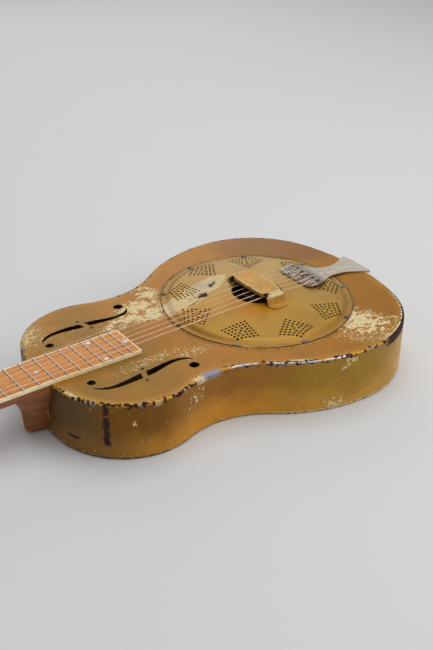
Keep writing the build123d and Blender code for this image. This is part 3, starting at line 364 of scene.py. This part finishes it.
class Shell(Graph):
    """Enamel of the metal body, with the masks and noises that its kinds of wear share."""

    def __init__(self):
        super().__init__("body_enamel")
        self.rim, self.inside = edge_distance(self)
        self.top = self.smooth(self.z, 72.0, 75.0)
        self.side = self.invert(self.top)
        self.bass = self.smooth(self.y, -10, -70)
        shake = self.wander(0.09)
        self.far_shaken = self.shifted(self.p, shake, 26.0)
        self.shaken = self.shifted(self.p, shake, 6.0)
        self.shards = self.noise(0.20, 2.5, 0.5)
        self.flakes = self.noise(0.30, 6, 0.68, warp=0.6)
        self.spots = self.noise(0.26, 4, 0.55)

    def along_side(self, first, steps):
        colour = first
        for start, full, following in steps:
            colour = self.mix(self.smooth(self.x, start, full), colour, following)
        return colour

    def sunburst(self):
        """Golden rim, browner field, olive towards the neck; the side wall is lighter below as painted
        reflection of the floor, laid over the burst.
        """
        drift = self.noise(0.018, 3, 0.5)
        field = self.mix(self.smooth(self.x, -120, -250), BROWN, OLIVE)
        field = self.mix(self.mul(self.smooth(drift, 0.35, 0.65), 0.8), field, ORANGE)
        near_rim = self.smooth(self.add(self.rim, self.mul(drift, 16)), 24, 9)
        glow = self.mul(near_rim, self.add(0.3, self.mul(self.bass, 0.35)))
        deck = self.mix(glow, field, GOLDEN)
        deck = self.mix(self.mul(self.patch(*ORANGE_WAIST), 0.5), deck, ORANGE)
        deck = self.mix(self.mul(self.patch(*BROWN_FAR_BOUT), 0.7), deck, FAR_BROWN)
        # painted reflection: the side wall lightens towards its foot
        low = self.smooth(self.add(self.z, self.mul(drift, 50)), 76, 30)
        wall = self.mix(low, self.along_side(*SIDE_HIGH_BURST_AND_REFLECTION), self.along_side(*SIDE_LOW_BURST_AND_REFLECTION))
        return self.mix(self.top, wall, deck)

    def rim_chips(self):
        """Dark chips and grey bare patches: noise that gives way where the edge gets knocked."""
        clusters = self.mul(self.less(self.noise(0.045, 2), 0.5), 0.5)
        edge = self.smooth(self.rim, 4.8, 2.2)
        knocked = self.mul(self.patches(KNOCKED), 0.05)
        give = self.mul(edge, self.add(self.mul(self.bass, 0.06), knocked))
        loose = self.add(self.shards, self.add(give, self.mul(edge, clusters)))
        near_edge = self.smooth(self.rim, 6.5, 4.5)
        dark = self.mul(self.smooth(loose, 0.590, 0.606), near_edge)
        grey = self.mul(self.smooth(loose, 0.555, 0.570), near_edge)
        return dark, self.mul(grey, self.smooth(self.noise(0.03, 2), 0.5, 0.54))

    def rubbed_top(self):
        """Primer in flakes: by the plate on the treble side, and on the lower bout."""
        rubbed = self.patches(RUBBED, self.far_shaken)
        rubbed = self.mul(rubbed, self.smooth(self.noise(0.06, 3), 0.30, 0.55))
        flaked = self.smooth(self.add(self.mul(rubbed, 0.235), self.flakes), 0.615, 0.635)
        rubbed = self.mul(flaked, self.smooth(rubbed, 0.0, 0.1))
        along = self.stretch((0.13, 0.30, 0.2), turn=math.radians(38), source=self.shaken)
        fibres = self.noise(1.0, 4, 0.62, source=along)
        lower = self.patch(*LOWER_BOUT, source=self.far_shaken)
        flaked = self.smooth(self.add(self.mul(lower, 0.20), fibres), 0.610, 0.630)
        lower = self.mul(flaked, self.smooth(lower, 0.0, 0.1))
        return self.mul(self.most(rubbed, lower), self.top)

    def dust(self):
        """Small flecks, thicker round the f-holes and along the lower bout."""
        crumbs = self.noise(0.62, 4, 0.6)
        dusted = self.most(self.patches(DUSTED), self.mul(self.patch(*DUSTED_LIGHTLY), 0.6))
        dusted = self.mul(dusted, self.top)
        fine = self.smooth(self.add(crumbs, self.mul(dusted, 0.12)), 0.71, 0.73)
        coarse = self.add(self.blend(0.5, self.spots, self.flakes), self.mul(dusted, 0.13))
        return self.most(fine, self.mul(self.smooth(coarse, 0.665, 0.68), 0.8))

    def edge_primer(self):
        """Primer on edges: the far corner, beside the heel, the rim, the foot and the f-holes."""
        corner = self.patch(*FAR_CORNER, source=self.shaken)
        corner = self.mul(corner, self.smooth(self.flakes, 0.50, 0.52))
        heel = self.patch(*HEEL_LINE, source=self.shaken)
        heel = self.mul(heel, self.smooth(self.flakes, 0.38, 0.42))
        rim = self.mul(self.smooth(self.flakes, 0.40, 0.43), self.smooth(self.rim, 8, 6))
        rim = self.mul(self.patches(RIM_CREAM, self.shaken), rim)
        foot = self.add(self.shards, self.mul(self.smooth(self.x, -140, -60), 0.13))
        foot = self.mul(self.smooth(self.z, 5.2, 4.0), self.smooth(foot, 0.58, 0.60))
        hole = self.mul(self.smooth(self.absolute(self.nz), 0.7, 0.4), self.smooth(self.inside, 14, 18))
        hole = self.mul(self.mul(hole, self.smooth(self.z, 73, 74)), self.smooth(self.shards, 0.42, 0.46))
        return self.most(self.mul(self.most(corner, heel), self.top), rim, foot, hole)

    def side_primer(self):
        chipped = self.most(*(
            self.mul(self.patch(*place), self.mul(strength, self.window(self.z, *heights)))
            for place, strength, heights in SIDE_CHIPS))
        blobs = self.noise(0.17, 5, 0.62)
        chipped = self.smooth(self.add(blobs, self.mul(chipped, 0.19)), 0.685, 0.70)
        return self.mul(self.most(chipped, self.smooth(self.spots, 0.70, 0.715)), self.side)

    def bare_steel(self):
        """Old dark steel: the stripe and the hook on the upper bout, the scrape at the tail with its cream
        lip, the edge of the back. Returns the dark and the cream."""
        ragged = self.shifted(self.shaken, self.wander(0.35), 5.0)
        unbroken = self.smooth(self.absolute(self.less(self.z, STRIPE_BREAK_Z)), 0.8, 2.0)
        stripe = self.mul(self.patch(*STRIPE, source=ragged), self.mul(self.smooth(self.z, 17, 22), unbroken))
        stripe = self.mul(self.mul(stripe, self.smooth(self.shards, 0.30, 0.34)), self.side)
        hook = self.smooth(self.absolute(self.less(self.z, HOOK_Z)), 2.2, 1.2)
        hook = self.mul(self.patch(*HOOK, source=self.shaken), hook)
        reach = self.patch(*SCRAPE)
        high = self.smooth(self.add(self.z, self.mul(self.flakes, 5)), 67.5, 68.5)
        scrape = self.mul(reach, self.mul(high, self.smooth(self.inside, 3.4, 2.8)))
        lip = self.mul(self.smooth(self.inside, 5.2, 4.6), self.smooth(self.z, 74.8, 75.4))
        lip = self.mul(self.mul(reach, lip), self.smooth(self.shards, 0.36, 0.40))
        foot = self.add(self.shards, self.mul(self.smooth(self.x, -120, -220), 0.12))
        foot = self.mul(self.smooth(self.z, 4.2, 2.4), self.smooth(foot, 0.575, 0.59))
        return self.most(stripe, hook, scrape, foot), lip

    def polished_rim(self):
        """Bright lines on the rim at the waist."""
        lines = self.mul(self.patches(POLISHED_LINES), self.smooth(self.inside, 2.2, 1.4))
        lines = self.mul(lines, self.smooth(self.noise(0.12, 4), 0.45, 0.49))
        return self.mul(lines, self.smooth(self.z, 73.6, 74.2))

    def enamel(self):
        rubbed = self.rubbed_top()
        dark, lip = self.bare_steel()
        chips, grey_chips = self.rim_chips()
        lilac = self.mul(self.patch(*LILAC, source=self.shaken), self.smooth(self.rim, 8, 6))
        pricks = self.mul(rubbed, self.smooth(self.noise(0.22, 3), 0.67, 0.69))
        cream = self.most(rubbed, self.dust(), self.edge_primer(), self.side_primer(), lip)
        dark = self.most(dark, pricks, self.mul(chips, self.invert(lilac)))
        grey = self.most(self.mul(lilac, self.smooth(self.flakes, 0.38, 0.42)), grey_chips)
        return worn(self, self.sunburst(), cream, dark, grey, self.polished_rim())


# Wear on the coverplate, as places on the plan
PLATE_BAND = ((-98, 39, 40, 19, 0, 0.35), (-52, 53, 46, 18, 12, 0.35), (-22, 68, 20, 7, 0, 0.4))
PLATE_GREY = ((-36, 57, 14, 5, 28, 0.6), (-50, 60, 12, 9, 0, 0.7))
PLATE_BARE = (-61, 38, 11, 4.2, 22, 0.3)
PLATE_SCRATCH = (-85, 26, 11, 0.9, 10, 0.4)
PLATE_STREAKED = (-36, 55, 11, 2.6, 30, 0.4)
PLATE_PITTED = (-78, 40, 10, 8, -20, 0.5)
PLATE_NICK = (-20, -54, 3, 9, 0, 0.6)


def plate_enamel():
    g = Graph("plate_enamel")
    shake = g.wander(0.08)
    far_shaken, shaken = g.shifted(g.p, shake, 18.0), g.shifted(g.p, shake, 5.0)
    drift = g.noise(0.02, 3, 0.5)
    ring = g.length(g.x, g.y)

    paint = g.mix(g.smooth(g.add(g.x, g.mul(g.y, 0.7)), -60, 90), srgb(184, 138, 46), srgb(184, 150, 80))
    paint = g.mix(g.mul(g.smooth(drift, 0.4, 0.65), 0.6), paint, srgb(176, 132, 48))
    far_side = g.patch(-6, 96, 80, 40, 0, 0.6, far_shaken)
    paint = g.mix(g.mul(far_side, 0.6), paint, srgb(168, 128, 62))
    # painted shadow of the handrest: a more saturated orange on the plate beside the opening
    handrest_shadow_patch = g.patch(-22, -32, 34, 26, 0, 0.7, far_shaken)
    paint = g.mix(g.mul(handrest_shadow_patch, 0.8), paint, srgb(190, 124, 14))
    # painted shade on the plate's sloping shoulder ring
    slope_shade = g.window(ring, 116, 127, 2)
    paint = g.mix(g.mul(slope_shade, 0.45), paint, srgb(140, 96, 34))

    along = g.stretch((0.04, 0.2, 0.1), turn=math.radians(-12), source=far_shaken)
    streaks = g.noise(1.0, 4, 0.6, source=along)
    band = g.add(g.mul(g.patches(PLATE_BAND, shaken), 0.5), g.mul(streaks, 0.6))
    band = g.smooth(band, 0.56, 0.68)
    rim_wear = g.mul(g.smooth(ring, 126.8, 128.4), g.smooth(g.noise(0.09, 5), 0.5, 0.58))
    flecks = g.add(g.noise(0.3, 4, 0.55), g.mul(g.patch(*PLATE_NICK), 0.2))
    cream = g.most(g.mul(band, 0.72), g.smooth(flecks, 0.76, 0.78), g.mul(rim_wear, 0.8))

    streaked = g.mul(g.patch(*PLATE_STREAKED, source=far_shaken), g.smooth(streaks, 0.42, 0.5))
    pitted = g.mul(g.patch(*PLATE_PITTED, source=far_shaken), g.smooth(g.noise(0.3, 3), 0.58, 0.62))
    # painted shade in the seam round the plate's edge, broken by noise
    seam_shade_ring = g.mul(g.smooth(ring, 127.2, 128.2), g.smooth(g.noise(0.12, 3), 0.34, 0.42))
    dark = g.most(g.patch(*PLATE_BARE, source=far_shaken), g.patch(*PLATE_SCRATCH), streaked, pitted,
                  g.mul(seam_shade_ring, 0.9))
    grey = g.mul(g.patches(PLATE_GREY, far_shaken), 0.45)

    # the walls of the holes are painted near-black as the shade inside the holes, and take no wear
    wall = g.mul(g.smooth(g.nz, 0.6, 0.3), g.smooth(ring, 119, 117))
    sound = g.invert(wall)
    paint = g.mix(wall, paint, srgb(14, 10, 8))
    return worn(g, paint, g.mul(cream, sound), g.mul(dark, sound), grey, gloss=0.28, metal=0.36)


REST_CORE_HALF_W = 8.0
REST_CORE_HALF_L = 27.0
REST_KNOCKED = ((-12, -35, 4, 5, 0, 0.4), (14, -29, 3, 9, 0, 0.4))


def handrest_enamel():
    g = Graph("handrest_enamel")
    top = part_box("handrest")[1].z * 1000
    along = g.absolute(g.y)
    shards = g.noise(0.2, 5, 0.6)
    on_top = g.smooth(g.z, top - 1.4, top - 0.3)
    skirt = g.mix(g.smooth(g.z, top - 5, top - 9), srgb(180, 136, 62), srgb(184, 134, 48))
    field = g.mix(g.smooth(g.noise(0.05, 3), 0.35, 0.7), srgb(200, 150, 66), srgb(186, 138, 56))
    paint = g.mix(on_top, skirt, field)

    # distance from the inner rectangle that the rounded pan is drawn round
    across = g.most(g.less(g.absolute(g.x), REST_CORE_HALF_W), 0.0)
    past_core = g.most(g.less(along, REST_CORE_HALF_L), 0.0)
    reach = g.length(across, past_core)
    border = g.mul(g.smooth(reach, 6.6, 7.4), g.smooth(g.z, top - 1.6, top - 1.2))
    border = g.mul(border, g.smooth(shards, 0.36, 0.44))
    bend = g.smooth(g.add(g.z, g.mul(shards, 5)), top - 3.5, top - 1.5)
    bend = g.mul(g.smooth(along, 35.4, 37.0), bend)
    speck = g.smooth(g.noise(0.28, 4), 0.655, 0.68)

    corners = g.mul(g.patches(REST_KNOCKED), g.smooth(reach, 6.0, 7.4))
    corners = g.mul(corners, g.smooth(g.z, top - 5, top - 3))
    treble_leg = g.mul(g.smooth(g.y, 36.5, 38.0), 0.9)
    dark = g.mul(g.most(corners, treble_leg), g.smooth(shards, 0.40, 0.46))

    # painted shade on the downward faces under the legs and the strap
    underside_shade = g.mul(g.smooth(g.nz, -0.3, -0.6), g.smooth(along, 33, 31))
    paint = g.mix(underside_shade, paint, srgb(60, 38, 12))
    return worn(g, paint, g.most(border, speck, g.mul(bend, 0.9)), dark, gloss=0.30, metal=0.36)


# ---------------------------------------------------------------- metals
def nickel(name, base, tarnish, rough, brushed=(0.6, 4.0, 0.6), stain=0.5, metal=1.0):
    g = Graph(name)
    cloud = g.noise(0.05, 5, 0.6, warp=0.8)
    lines = g.noise(1.0, 5, 0.7, source=g.stretch(brushed))
    pits = g.smooth(g.noise(0.8, 4, 0.6), 0.66, 0.74)
    colour = g.mix(g.mul(g.smooth(cloud, 0.38, 0.68), stain), base, tarnish)
    colour = g.mix(g.mul(pits, 0.5), colour, tarnish)
    roughness = g.add(rough, g.mul(g.add(cloud, lines), 0.12))
    height = g.add(g.mul(lines, 0.5), g.mul(pits, -0.6))
    return g.finish(Base_Color=colour, Metallic=metal, Roughness=roughness,
                    Normal=g.bump(height, 0.00004, 0.6))


def tailpiece_nickel():
    """Grey nickel whose comb end has gone dark in streaks along the strings."""
    g = Graph("tailpiece_nickel")
    cloud = g.noise(0.06, 5, 0.65, warp=0.6)
    streaks = g.noise(1.0, 5, 0.65, source=g.stretch((0.07, 0.42, 0.2)))
    comb = g.smooth(g.x, 108, 88)
    light, mid, dark = srgb(214, 203, 186), srgb(192, 181, 164), srgb(72, 62, 54)
    colour = g.mix(g.smooth(cloud, 0.35, 0.7), light, mid)
    worn_comb = g.mul(comb, g.smooth(streaks, 0.40, 0.56))
    colour = g.mix(g.mul(worn_comb, 0.85), colour, dark)
    spots = g.smooth(g.noise(0.5, 4), 0.66, 0.72)
    colour = g.mix(g.mul(spots, 0.6), colour, srgb(112, 92, 70))
    roughness = g.add(0.34, g.mul(g.add(cloud, g.mul(worn_comb, 0.6)), 0.22))
    height = g.add(g.mul(streaks, 0.3), g.mul(spots, -0.5))
    return g.finish(Base_Color=colour, Metallic=0.7, Roughness=roughness,
                    Normal=g.bump(height, 0.00005, 0.4))


def string_wire(name, base, wound, pitch=0.25):
    g = Graph(name)
    rub = g.smooth(g.noise(0.05, 4), 0.4, 0.7)
    colour = g.mix(rub, base, g.mix(0.25, base, srgb(120, 90, 70)))
    if wound:
        turns = g.math("SINE", g.mul(g.add(g.x, g.mul(g.y, 0.35)), 2 * math.pi / pitch))
        colour = g.mix(g.mul(g.smooth(turns, 0.1, -0.9), 0.22), colour, srgb(120, 76, 54))
        height = g.mul(turns, 0.5)
    else:
        height = g.noise(0.9, 3)
    return g.finish(Base_Color=colour, Metallic=0.35, Roughness=g.add(0.30, g.mul(rub, 0.12)),
                    Normal=g.bump(height, 0.00005, 0.5))


CONE_RING_PITCH = 0.8


def cone_metal():
    """Spun cone painted near-black as painted shade deep inside the body, with its turning rings."""
    g = Graph("cone_metal")
    turning = g.math("SINE", g.mul(g.length(g.x, g.y), 2 * math.pi / CONE_RING_PITCH))
    colour = g.mix(g.smooth(g.noise(0.07, 4), 0.35, 0.7), srgb(26, 24, 22), srgb(44, 40, 36))
    return g.finish(Base_Color=colour, Metallic=0.6, Roughness=g.add(0.42, g.mul(g.noise(0.4, 3), 0.15)),
                    Normal=g.bump(turning, 0.00005, 0.5))


# ---------------------------------------------------------------- woods and plastics
def board_wood():
    """Oiled open-grained board: long fibres, short dark pores, broad darker bands along the grain."""
    g = Graph("board_wood")
    fibre = g.noise(1.0, 6, 0.62, source=g.stretch((0.012, 0.42, 0.42)), warp=0.3)
    bands = g.noise(1.0, 3, 0.5, source=g.stretch((0.004, 0.09, 0.1)))
    pores = g.noise(1.0, 3, 0.6, source=g.stretch((0.22, 2.2, 1.6)))
    pore = g.smooth(pores, 0.60, 0.68)
    colour = g.mix(g.smooth(fibre, 0.3, 0.7), srgb(222, 152, 66), srgb(198, 128, 50))
    colour = g.mix(g.mul(g.smooth(bands, 0.4, 0.65), 0.55), colour, srgb(184, 114, 44))
    colour = g.mix(g.mul(pore, 0.7), colour, srgb(118, 66, 32))
    height = g.add(g.mul(fibre, 0.4), g.mul(pore, -0.9))
    return g.finish(Base_Color=colour, Roughness=g.add(0.46, g.mul(fibre, 0.14)),
                    Normal=g.bump(height, 0.00012, 0.8))


def grained(name, light, dark, rough, coat=0.0, scale=1.0, pores=0.4):
    g = Graph(name)
    rings = g.noise(1.0, 4, 0.55, source=g.stretch((0.006 * scale, 0.10 * scale, 0.10 * scale)), warp=0.4)
    fibre = g.noise(1.0, 6, 0.62, source=g.stretch((0.02 * scale, 0.6 * scale, 0.6 * scale)))
    colour = g.mix(g.smooth(rings, 0.35, 0.68), light, dark)
    colour = g.mix(g.mul(g.smooth(fibre, 0.55, 0.72), pores), colour, g.mix(0.6, dark, srgb(30, 14, 8)))
    return g.finish(Base_Color=colour, Roughness=g.add(rough, g.mul(fibre, 0.12)), Coat_Weight=coat,
                    Coat_Roughness=0.2, Normal=g.bump(fibre, 0.00008, 0.6))


def moulded(name, base, dirt, rough, cloud_scale=0.08, amount=0.5, depth=0.00005):
    g = Graph(name)
    cloud = g.noise(cloud_scale, 5, 0.6, warp=0.8)
    grime = g.smooth(g.noise(0.6, 4, 0.6), 0.6, 0.75)
    colour = g.mix(g.mul(g.smooth(cloud, 0.35, 0.7), amount), base, dirt)
    colour = g.mix(g.mul(grime, 0.25), colour, dirt)
    return g.finish(Base_Color=colour, Roughness=g.add(rough, g.mul(cloud, 0.12)),
                    Normal=g.bump(g.add(cloud, g.mul(grime, -0.5)), depth, 0.5))


def fret_metal():
    """Crowns in bright nickel; flanks, picked by which way they face, darkened as painted shade and mottled
    at random.
    """
    g = Graph("fret_metal")
    flank_shade = g.smooth(g.absolute(g.nx), 0.45, 0.75)
    tarnish = g.noise(0.6, 4)
    colour = g.mix(flank_shade, srgb(222, 216, 206), g.mix(tarnish, srgb(78, 68, 60), srgb(108, 96, 86)))
    return g.finish(Base_Color=colour, Metallic=g.blend(flank_shade, 0.9, 0.3),
                    Roughness=g.add(0.2, g.mul(tarnish, 0.15)), Normal=g.bump(tarnish, 0.00003, 0.4))


def pearl():
    g = Graph("pearl_dot")
    swirl = g.noise(0.35, 4, 0.6, warp=2.2)
    colour = g.mix(g.smooth(swirl, 0.35, 0.65), srgb(220, 222, 220), srgb(194, 200, 202))
    return g.finish(Base_Color=colour, Roughness=g.add(0.2, g.mul(swirl, 0.12)), Coat_Weight=0.4,
                    Coat_Roughness=0.1, Normal=g.bump(swirl, 0.00003, 0.4))


def thread(name, base, deep, pitch):
    g = Graph(name)
    turns = g.math("SINE", g.mul(g.add(g.x, g.mul(g.y, 0.5)), 2 * math.pi / pitch))
    colour = g.mix(g.smooth(turns, 0.3, -0.8), base, deep)
    return g.finish(Base_Color=colour, Roughness=g.add(0.7, g.mul(g.noise(1.2, 3), 0.15)),
                    Normal=g.bump(turns, 0.00015, 0.8))


def paint_nodes(material, *names):
    """Gives CAD nodes their material in every slot they have."""
    for name in names:
        mesh = nodes[name].data
        mesh.materials.clear()
        mesh.materials.append(material)


BONE = moulded("bone", srgb(228, 216, 184), srgb(186, 160, 112), 0.34)
BUTTON = moulded("button_cream", srgb(226, 210, 172), srgb(176, 144, 92), 0.28)
SCREW = nickel("screw_nickel", srgb(150, 142, 132), srgb(64, 52, 42), 0.30, stain=0.85)
PLATE_NICKEL = nickel("tuner_nickel", srgb(190, 184, 172), srgb(120, 106, 84), 0.22, brushed=(0.08, 1.2, 1.2))
WORM = nickel("worm_steel", srgb(184, 180, 172), srgb(96, 84, 68), 0.26)
ROLLER = nickel("roller_steel", srgb(196, 190, 178), srgb(128, 112, 88), 0.30, brushed=(0.2, 2.0, 0.2))
GEAR = nickel("gear_brass", srgb(198, 158, 84), srgb(112, 82, 40), 0.28, stain=0.7)
PLAIN = string_wire("string_plain", srgb(226, 210, 200), False)
WOUND = string_wire("string_wound", srgb(240, 186, 154), True)

paint_nodes(Shell().enamel(), "body_top", "body_sides", "body_back")
paint_nodes(plate_enamel(), "coverplate")
paint_nodes(handrest_enamel(), "handrest")
paint_nodes(nickel("raw_steel", srgb(92, 88, 84), srgb(54, 44, 36), 0.45), "soundwell")
paint_nodes(cone_metal(), "cone")
# biscuit and saddle: maple darkened as painted shade inside the resonator
paint_nodes(grained("dark_maple", srgb(64, 44, 30), srgb(38, 24, 16), 0.45), "biscuit", "saddle")
paint_nodes(grained("inner_maple", srgb(196, 160, 110), srgb(160, 120, 76), 0.6), "neck_stick", "neck_block",
            "stick_supports")
paint_nodes(tailpiece_nickel(), "tailpiece")
paint_nodes(nickel("bracket_nickel", srgb(188, 182, 170), srgb(104, 88, 66), 0.28), "tailpiece_bracket",
            "tailpiece_pin")
paint_nodes(SCREW, "coverplate_screws", "tailpiece_screws", "extension_screws", "cone_screw",
            "tuner_plate_screws")
paint_nodes(moulded("end_pin_black", srgb(24, 22, 22), srgb(60, 54, 50), 0.22), "end_pin")
paint_nodes(nickel("ball_brass", srgb(186, 146, 78), srgb(104, 74, 38), 0.32), "ball_ends")
paint_nodes(board_wood(), "fingerboard")
paint_nodes(moulded("cream_binding", srgb(255, 240, 200), srgb(236, 206, 150), 0.36), "fingerboard_binding")
paint_nodes(fret_metal(), "frets")
paint_nodes(pearl(), "position_dots")
paint_nodes(BONE, "nut")
paint_nodes(grained("neck_wood", srgb(160, 98, 50), srgb(134, 78, 38), 0.34, coat=0.12, pores=0.25), "neck")
paint_nodes(PLATE_NICKEL, "tuner_plate_treble", "tuner_plate_bass")
for i in range(1, 7):
    paint_nodes(ROLLER, f"string_roller_{i}")
    paint_nodes(GEAR, f"tuner_gear_{i}")
    paint_nodes(WORM, f"tuner_worm_{i}")
    paint_nodes(BUTTON, f"tuner_button_{i}")
    paint_nodes(PLAIN if i < 3 else WOUND, f"string_{i}")


# ---------------------------------------------------------------- string ends
def wire(name, points, radius, material, body):
    """Round wire along a smooth curve, turned into a mesh."""
    curve = bpy.data.curves.new(name, "CURVE")
    curve.dimensions = "3D"
    curve.bevel_depth = radius
    curve.bevel_resolution = 3
    curve.use_fill_caps = True
    spline = curve.splines.new("POLY")
    spline.points.add(len(points) - 1)
    for point, place in zip(spline.points, points):
        point.co = (*place, 1)
    source = bpy.data.objects.new(name + "_path", curve)
    mesh = bpy.data.meshes.new_from_object(source)
    bpy.data.objects.remove(source)
    piece = bpy.data.objects.new(name, mesh)
    bpy.context.scene.collection.objects.link(piece)
    mesh.materials.clear()
    mesh.materials.append(material)
    for face in mesh.polygons:
        face.use_smooth = True
    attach(piece, body)
    return piece


def string_end(number):
    """Middle of the string's end face at its roller, and the string's radius there."""
    mesh = nodes[f"string_{number}"].data
    co = np.array([v.co for v in mesh.vertices])
    last = co[co[:, 0] < co[:, 0].min() + 0.0016]
    middle = (last.min(0) + last.max(0)) / 2
    return Vector(middle), (last[:, 1].max() - last[:, 1].min()) / 2


WINDING_STEPS = 28
WINDING_PITCH = 2.06
WINDING_CLEARANCE = 1.03
TAIL_STEPS = 6
TAIL_STEP = 0.0006
TAIL_RISE = 0.00006
TAIL_SIDEWAYS = 0.0003
FOUR_TURNS = (1, 2, 6)
WOUND_INWARD = (3, 4)


def winding(number):
    """Turns of string round its roller, ending in a short cut tail."""
    post = joints[f"post_{number}_turn"]
    up = Vector(joints[f"tuner_{number}_turn"]["axis"]).normalized()
    along = Vector((-up.z, 0, up.x))
    centre = Vector(post["pos_m"])
    end, radius = string_end(number)
    turns = 4 if number in FOUR_TURNS else 3
    reach = (end - centre).dot(up) - radius + radius * WINDING_CLEARANCE
    outward = math.copysign(1, end.y) * (1 if number in WOUND_INWARD else -1)
    points = []
    for k in range(turns * WINDING_STEPS + 1):
        angle = 2 * math.pi * k / WINDING_STEPS
        y = end.y + outward * radius * WINDING_PITCH * k / WINDING_STEPS
        points.append(centre + Vector((0, y - centre.y, 0))
                      + up * (reach * math.cos(angle)) + along * (reach * math.sin(angle)))
    last = points[-1]
    for k in range(1, TAIL_STEPS + 1):
        points.append(last + along * (TAIL_STEP * k) + up * (TAIL_RISE * k * k)
                      + Vector((0, outward * TAIL_SIDEWAYS * k, 0)))
    plain = number < 3
    return wire(f"winding_{number}", points, radius, PLAIN if plain else WOUND,
                f"string_post_{number}")


for i in range(1, 7):
    winding(i)


SILK_RADIUS = 0.0009
SILK_STEP = 0.0012
ANCHOR_X = 0.07


def silk(number):
    """Thread binding on the ball end of one string, showing through its anchor slot."""
    mesh = nodes[f"string_{number}"].data
    co = np.array([v.co for v in mesh.vertices])
    start = co[co[:, 0] > co[:, 0].max() - 0.0006].mean(0)
    top = co[co[:, 0] > ANCHOR_X][:, 2].max()
    hook = co[(co[:, 0] > ANCHOR_X) & (co[:, 2] > top - 0.0004)].mean(0)
    a, b = Vector(start), Vector(hook)
    away = Vector((-1, 0, 0.06)).normalized()
    points = [a.lerp(b, t / 6) for t in range(6)]
    points += [b + away * (SILK_STEP * k) for k in range(1, 5)]
    return wire(f"silk_{number}", points, SILK_RADIUS, SILK, "guitar")


SILK = thread("red_silk", srgb(170, 34, 30), srgb(96, 14, 16), 0.5)
silk(4)


# ---------------------------------------------------------------- floor, light and camera
def plane(name, size, material):
    mesh = bpy.data.meshes.new(name)
    half = size / 2
    corners = [(-half, -half, 0), (half, -half, 0), (half, half, 0), (-half, half, 0)]
    mesh.from_pydata(corners, [], [(0, 1, 2, 3)])
    mesh.materials.append(material)
    piece = bpy.data.objects.new(name, mesh)
    bpy.context.scene.collection.objects.link(piece)
    return piece


def paper():
    """Plain pale paper with a faint unevenness."""
    g = Graph("paper")
    cloud = g.noise(0.0012, 3, 0.5)
    colour = g.mix(g.mul(cloud, 0.04), srgb(212, 212, 211), srgb(200, 200, 200))
    return g.finish(Base_Color=colour, Roughness=0.85, Normal=g.bump(g.noise(0.8, 3), 0.00002, 0.3))


floor = plane("floor", 24.0, paper())


def softbox(name, place, target, size, watts, colour=(1, 1, 1)):
    light = bpy.data.lights.new(name, "AREA")
    light.shape = "RECTANGLE"
    light.size, light.size_y = size
    light.energy = watts
    light.color = colour
    piece = bpy.data.objects.new(name, light)
    bpy.context.scene.collection.objects.link(piece)
    piece.location = place
    piece.rotation_mode = "QUATERNION"
    piece.rotation_quaternion = (Vector(target) - Vector(place)).to_track_quat("-Z", "Y")
    return piece


softbox("softbox_over", (0.35, -0.1, 2.3), (-0.1, 0, 0), (2.6, 2.2), 34)
softbox("softbox_back", (0.6, 2.2, 1.2), (0, 0, 0.05), (2.6, 1.4), 12)
softbox("softbox_left", (-2.4, -0.2, 1.1), (0, 0, 0.05), (1.6, 1.4), 4)
softbox("softbox_front", (1.5, -1.8, 1.5), (0, 0, 0.05), (2.0, 1.2), 22)

world = bpy.data.worlds.new("room")
bpy.context.scene.world = world
world.use_nodes = True
background = world.node_tree.nodes["Background"]
background.inputs["Color"].default_value = srgb(226, 228, 232)
background.inputs["Strength"].default_value = 0.38

CAMERA_PLACE = Vector((-0.74017, -0.90131, 0.70481))
CAMERA_RIGHT = Vector((0.80555, -0.59237, 0.01338))
CAMERA_FORWARD = Vector((0.51879, 0.69421, -0.49893))
lens = bpy.data.cameras.new("camera")
lens.sensor_fit = "AUTO"
lens.sensor_width = 36.0
lens.lens = 54.46
lens.clip_start = 0.01
camera = bpy.data.objects.new("camera", lens)
bpy.context.scene.collection.objects.link(camera)
up = CAMERA_RIGHT.cross(CAMERA_FORWARD)
camera.matrix_world = Matrix.Translation(CAMERA_PLACE) @ Matrix(
    (CAMERA_RIGHT, up, -CAMERA_FORWARD)
).transposed().to_4x4()
bpy.context.scene.camera = camera
# colours show as they are set, with no film-like curve over them
bpy.context.scene.view_settings.view_transform = "Standard"
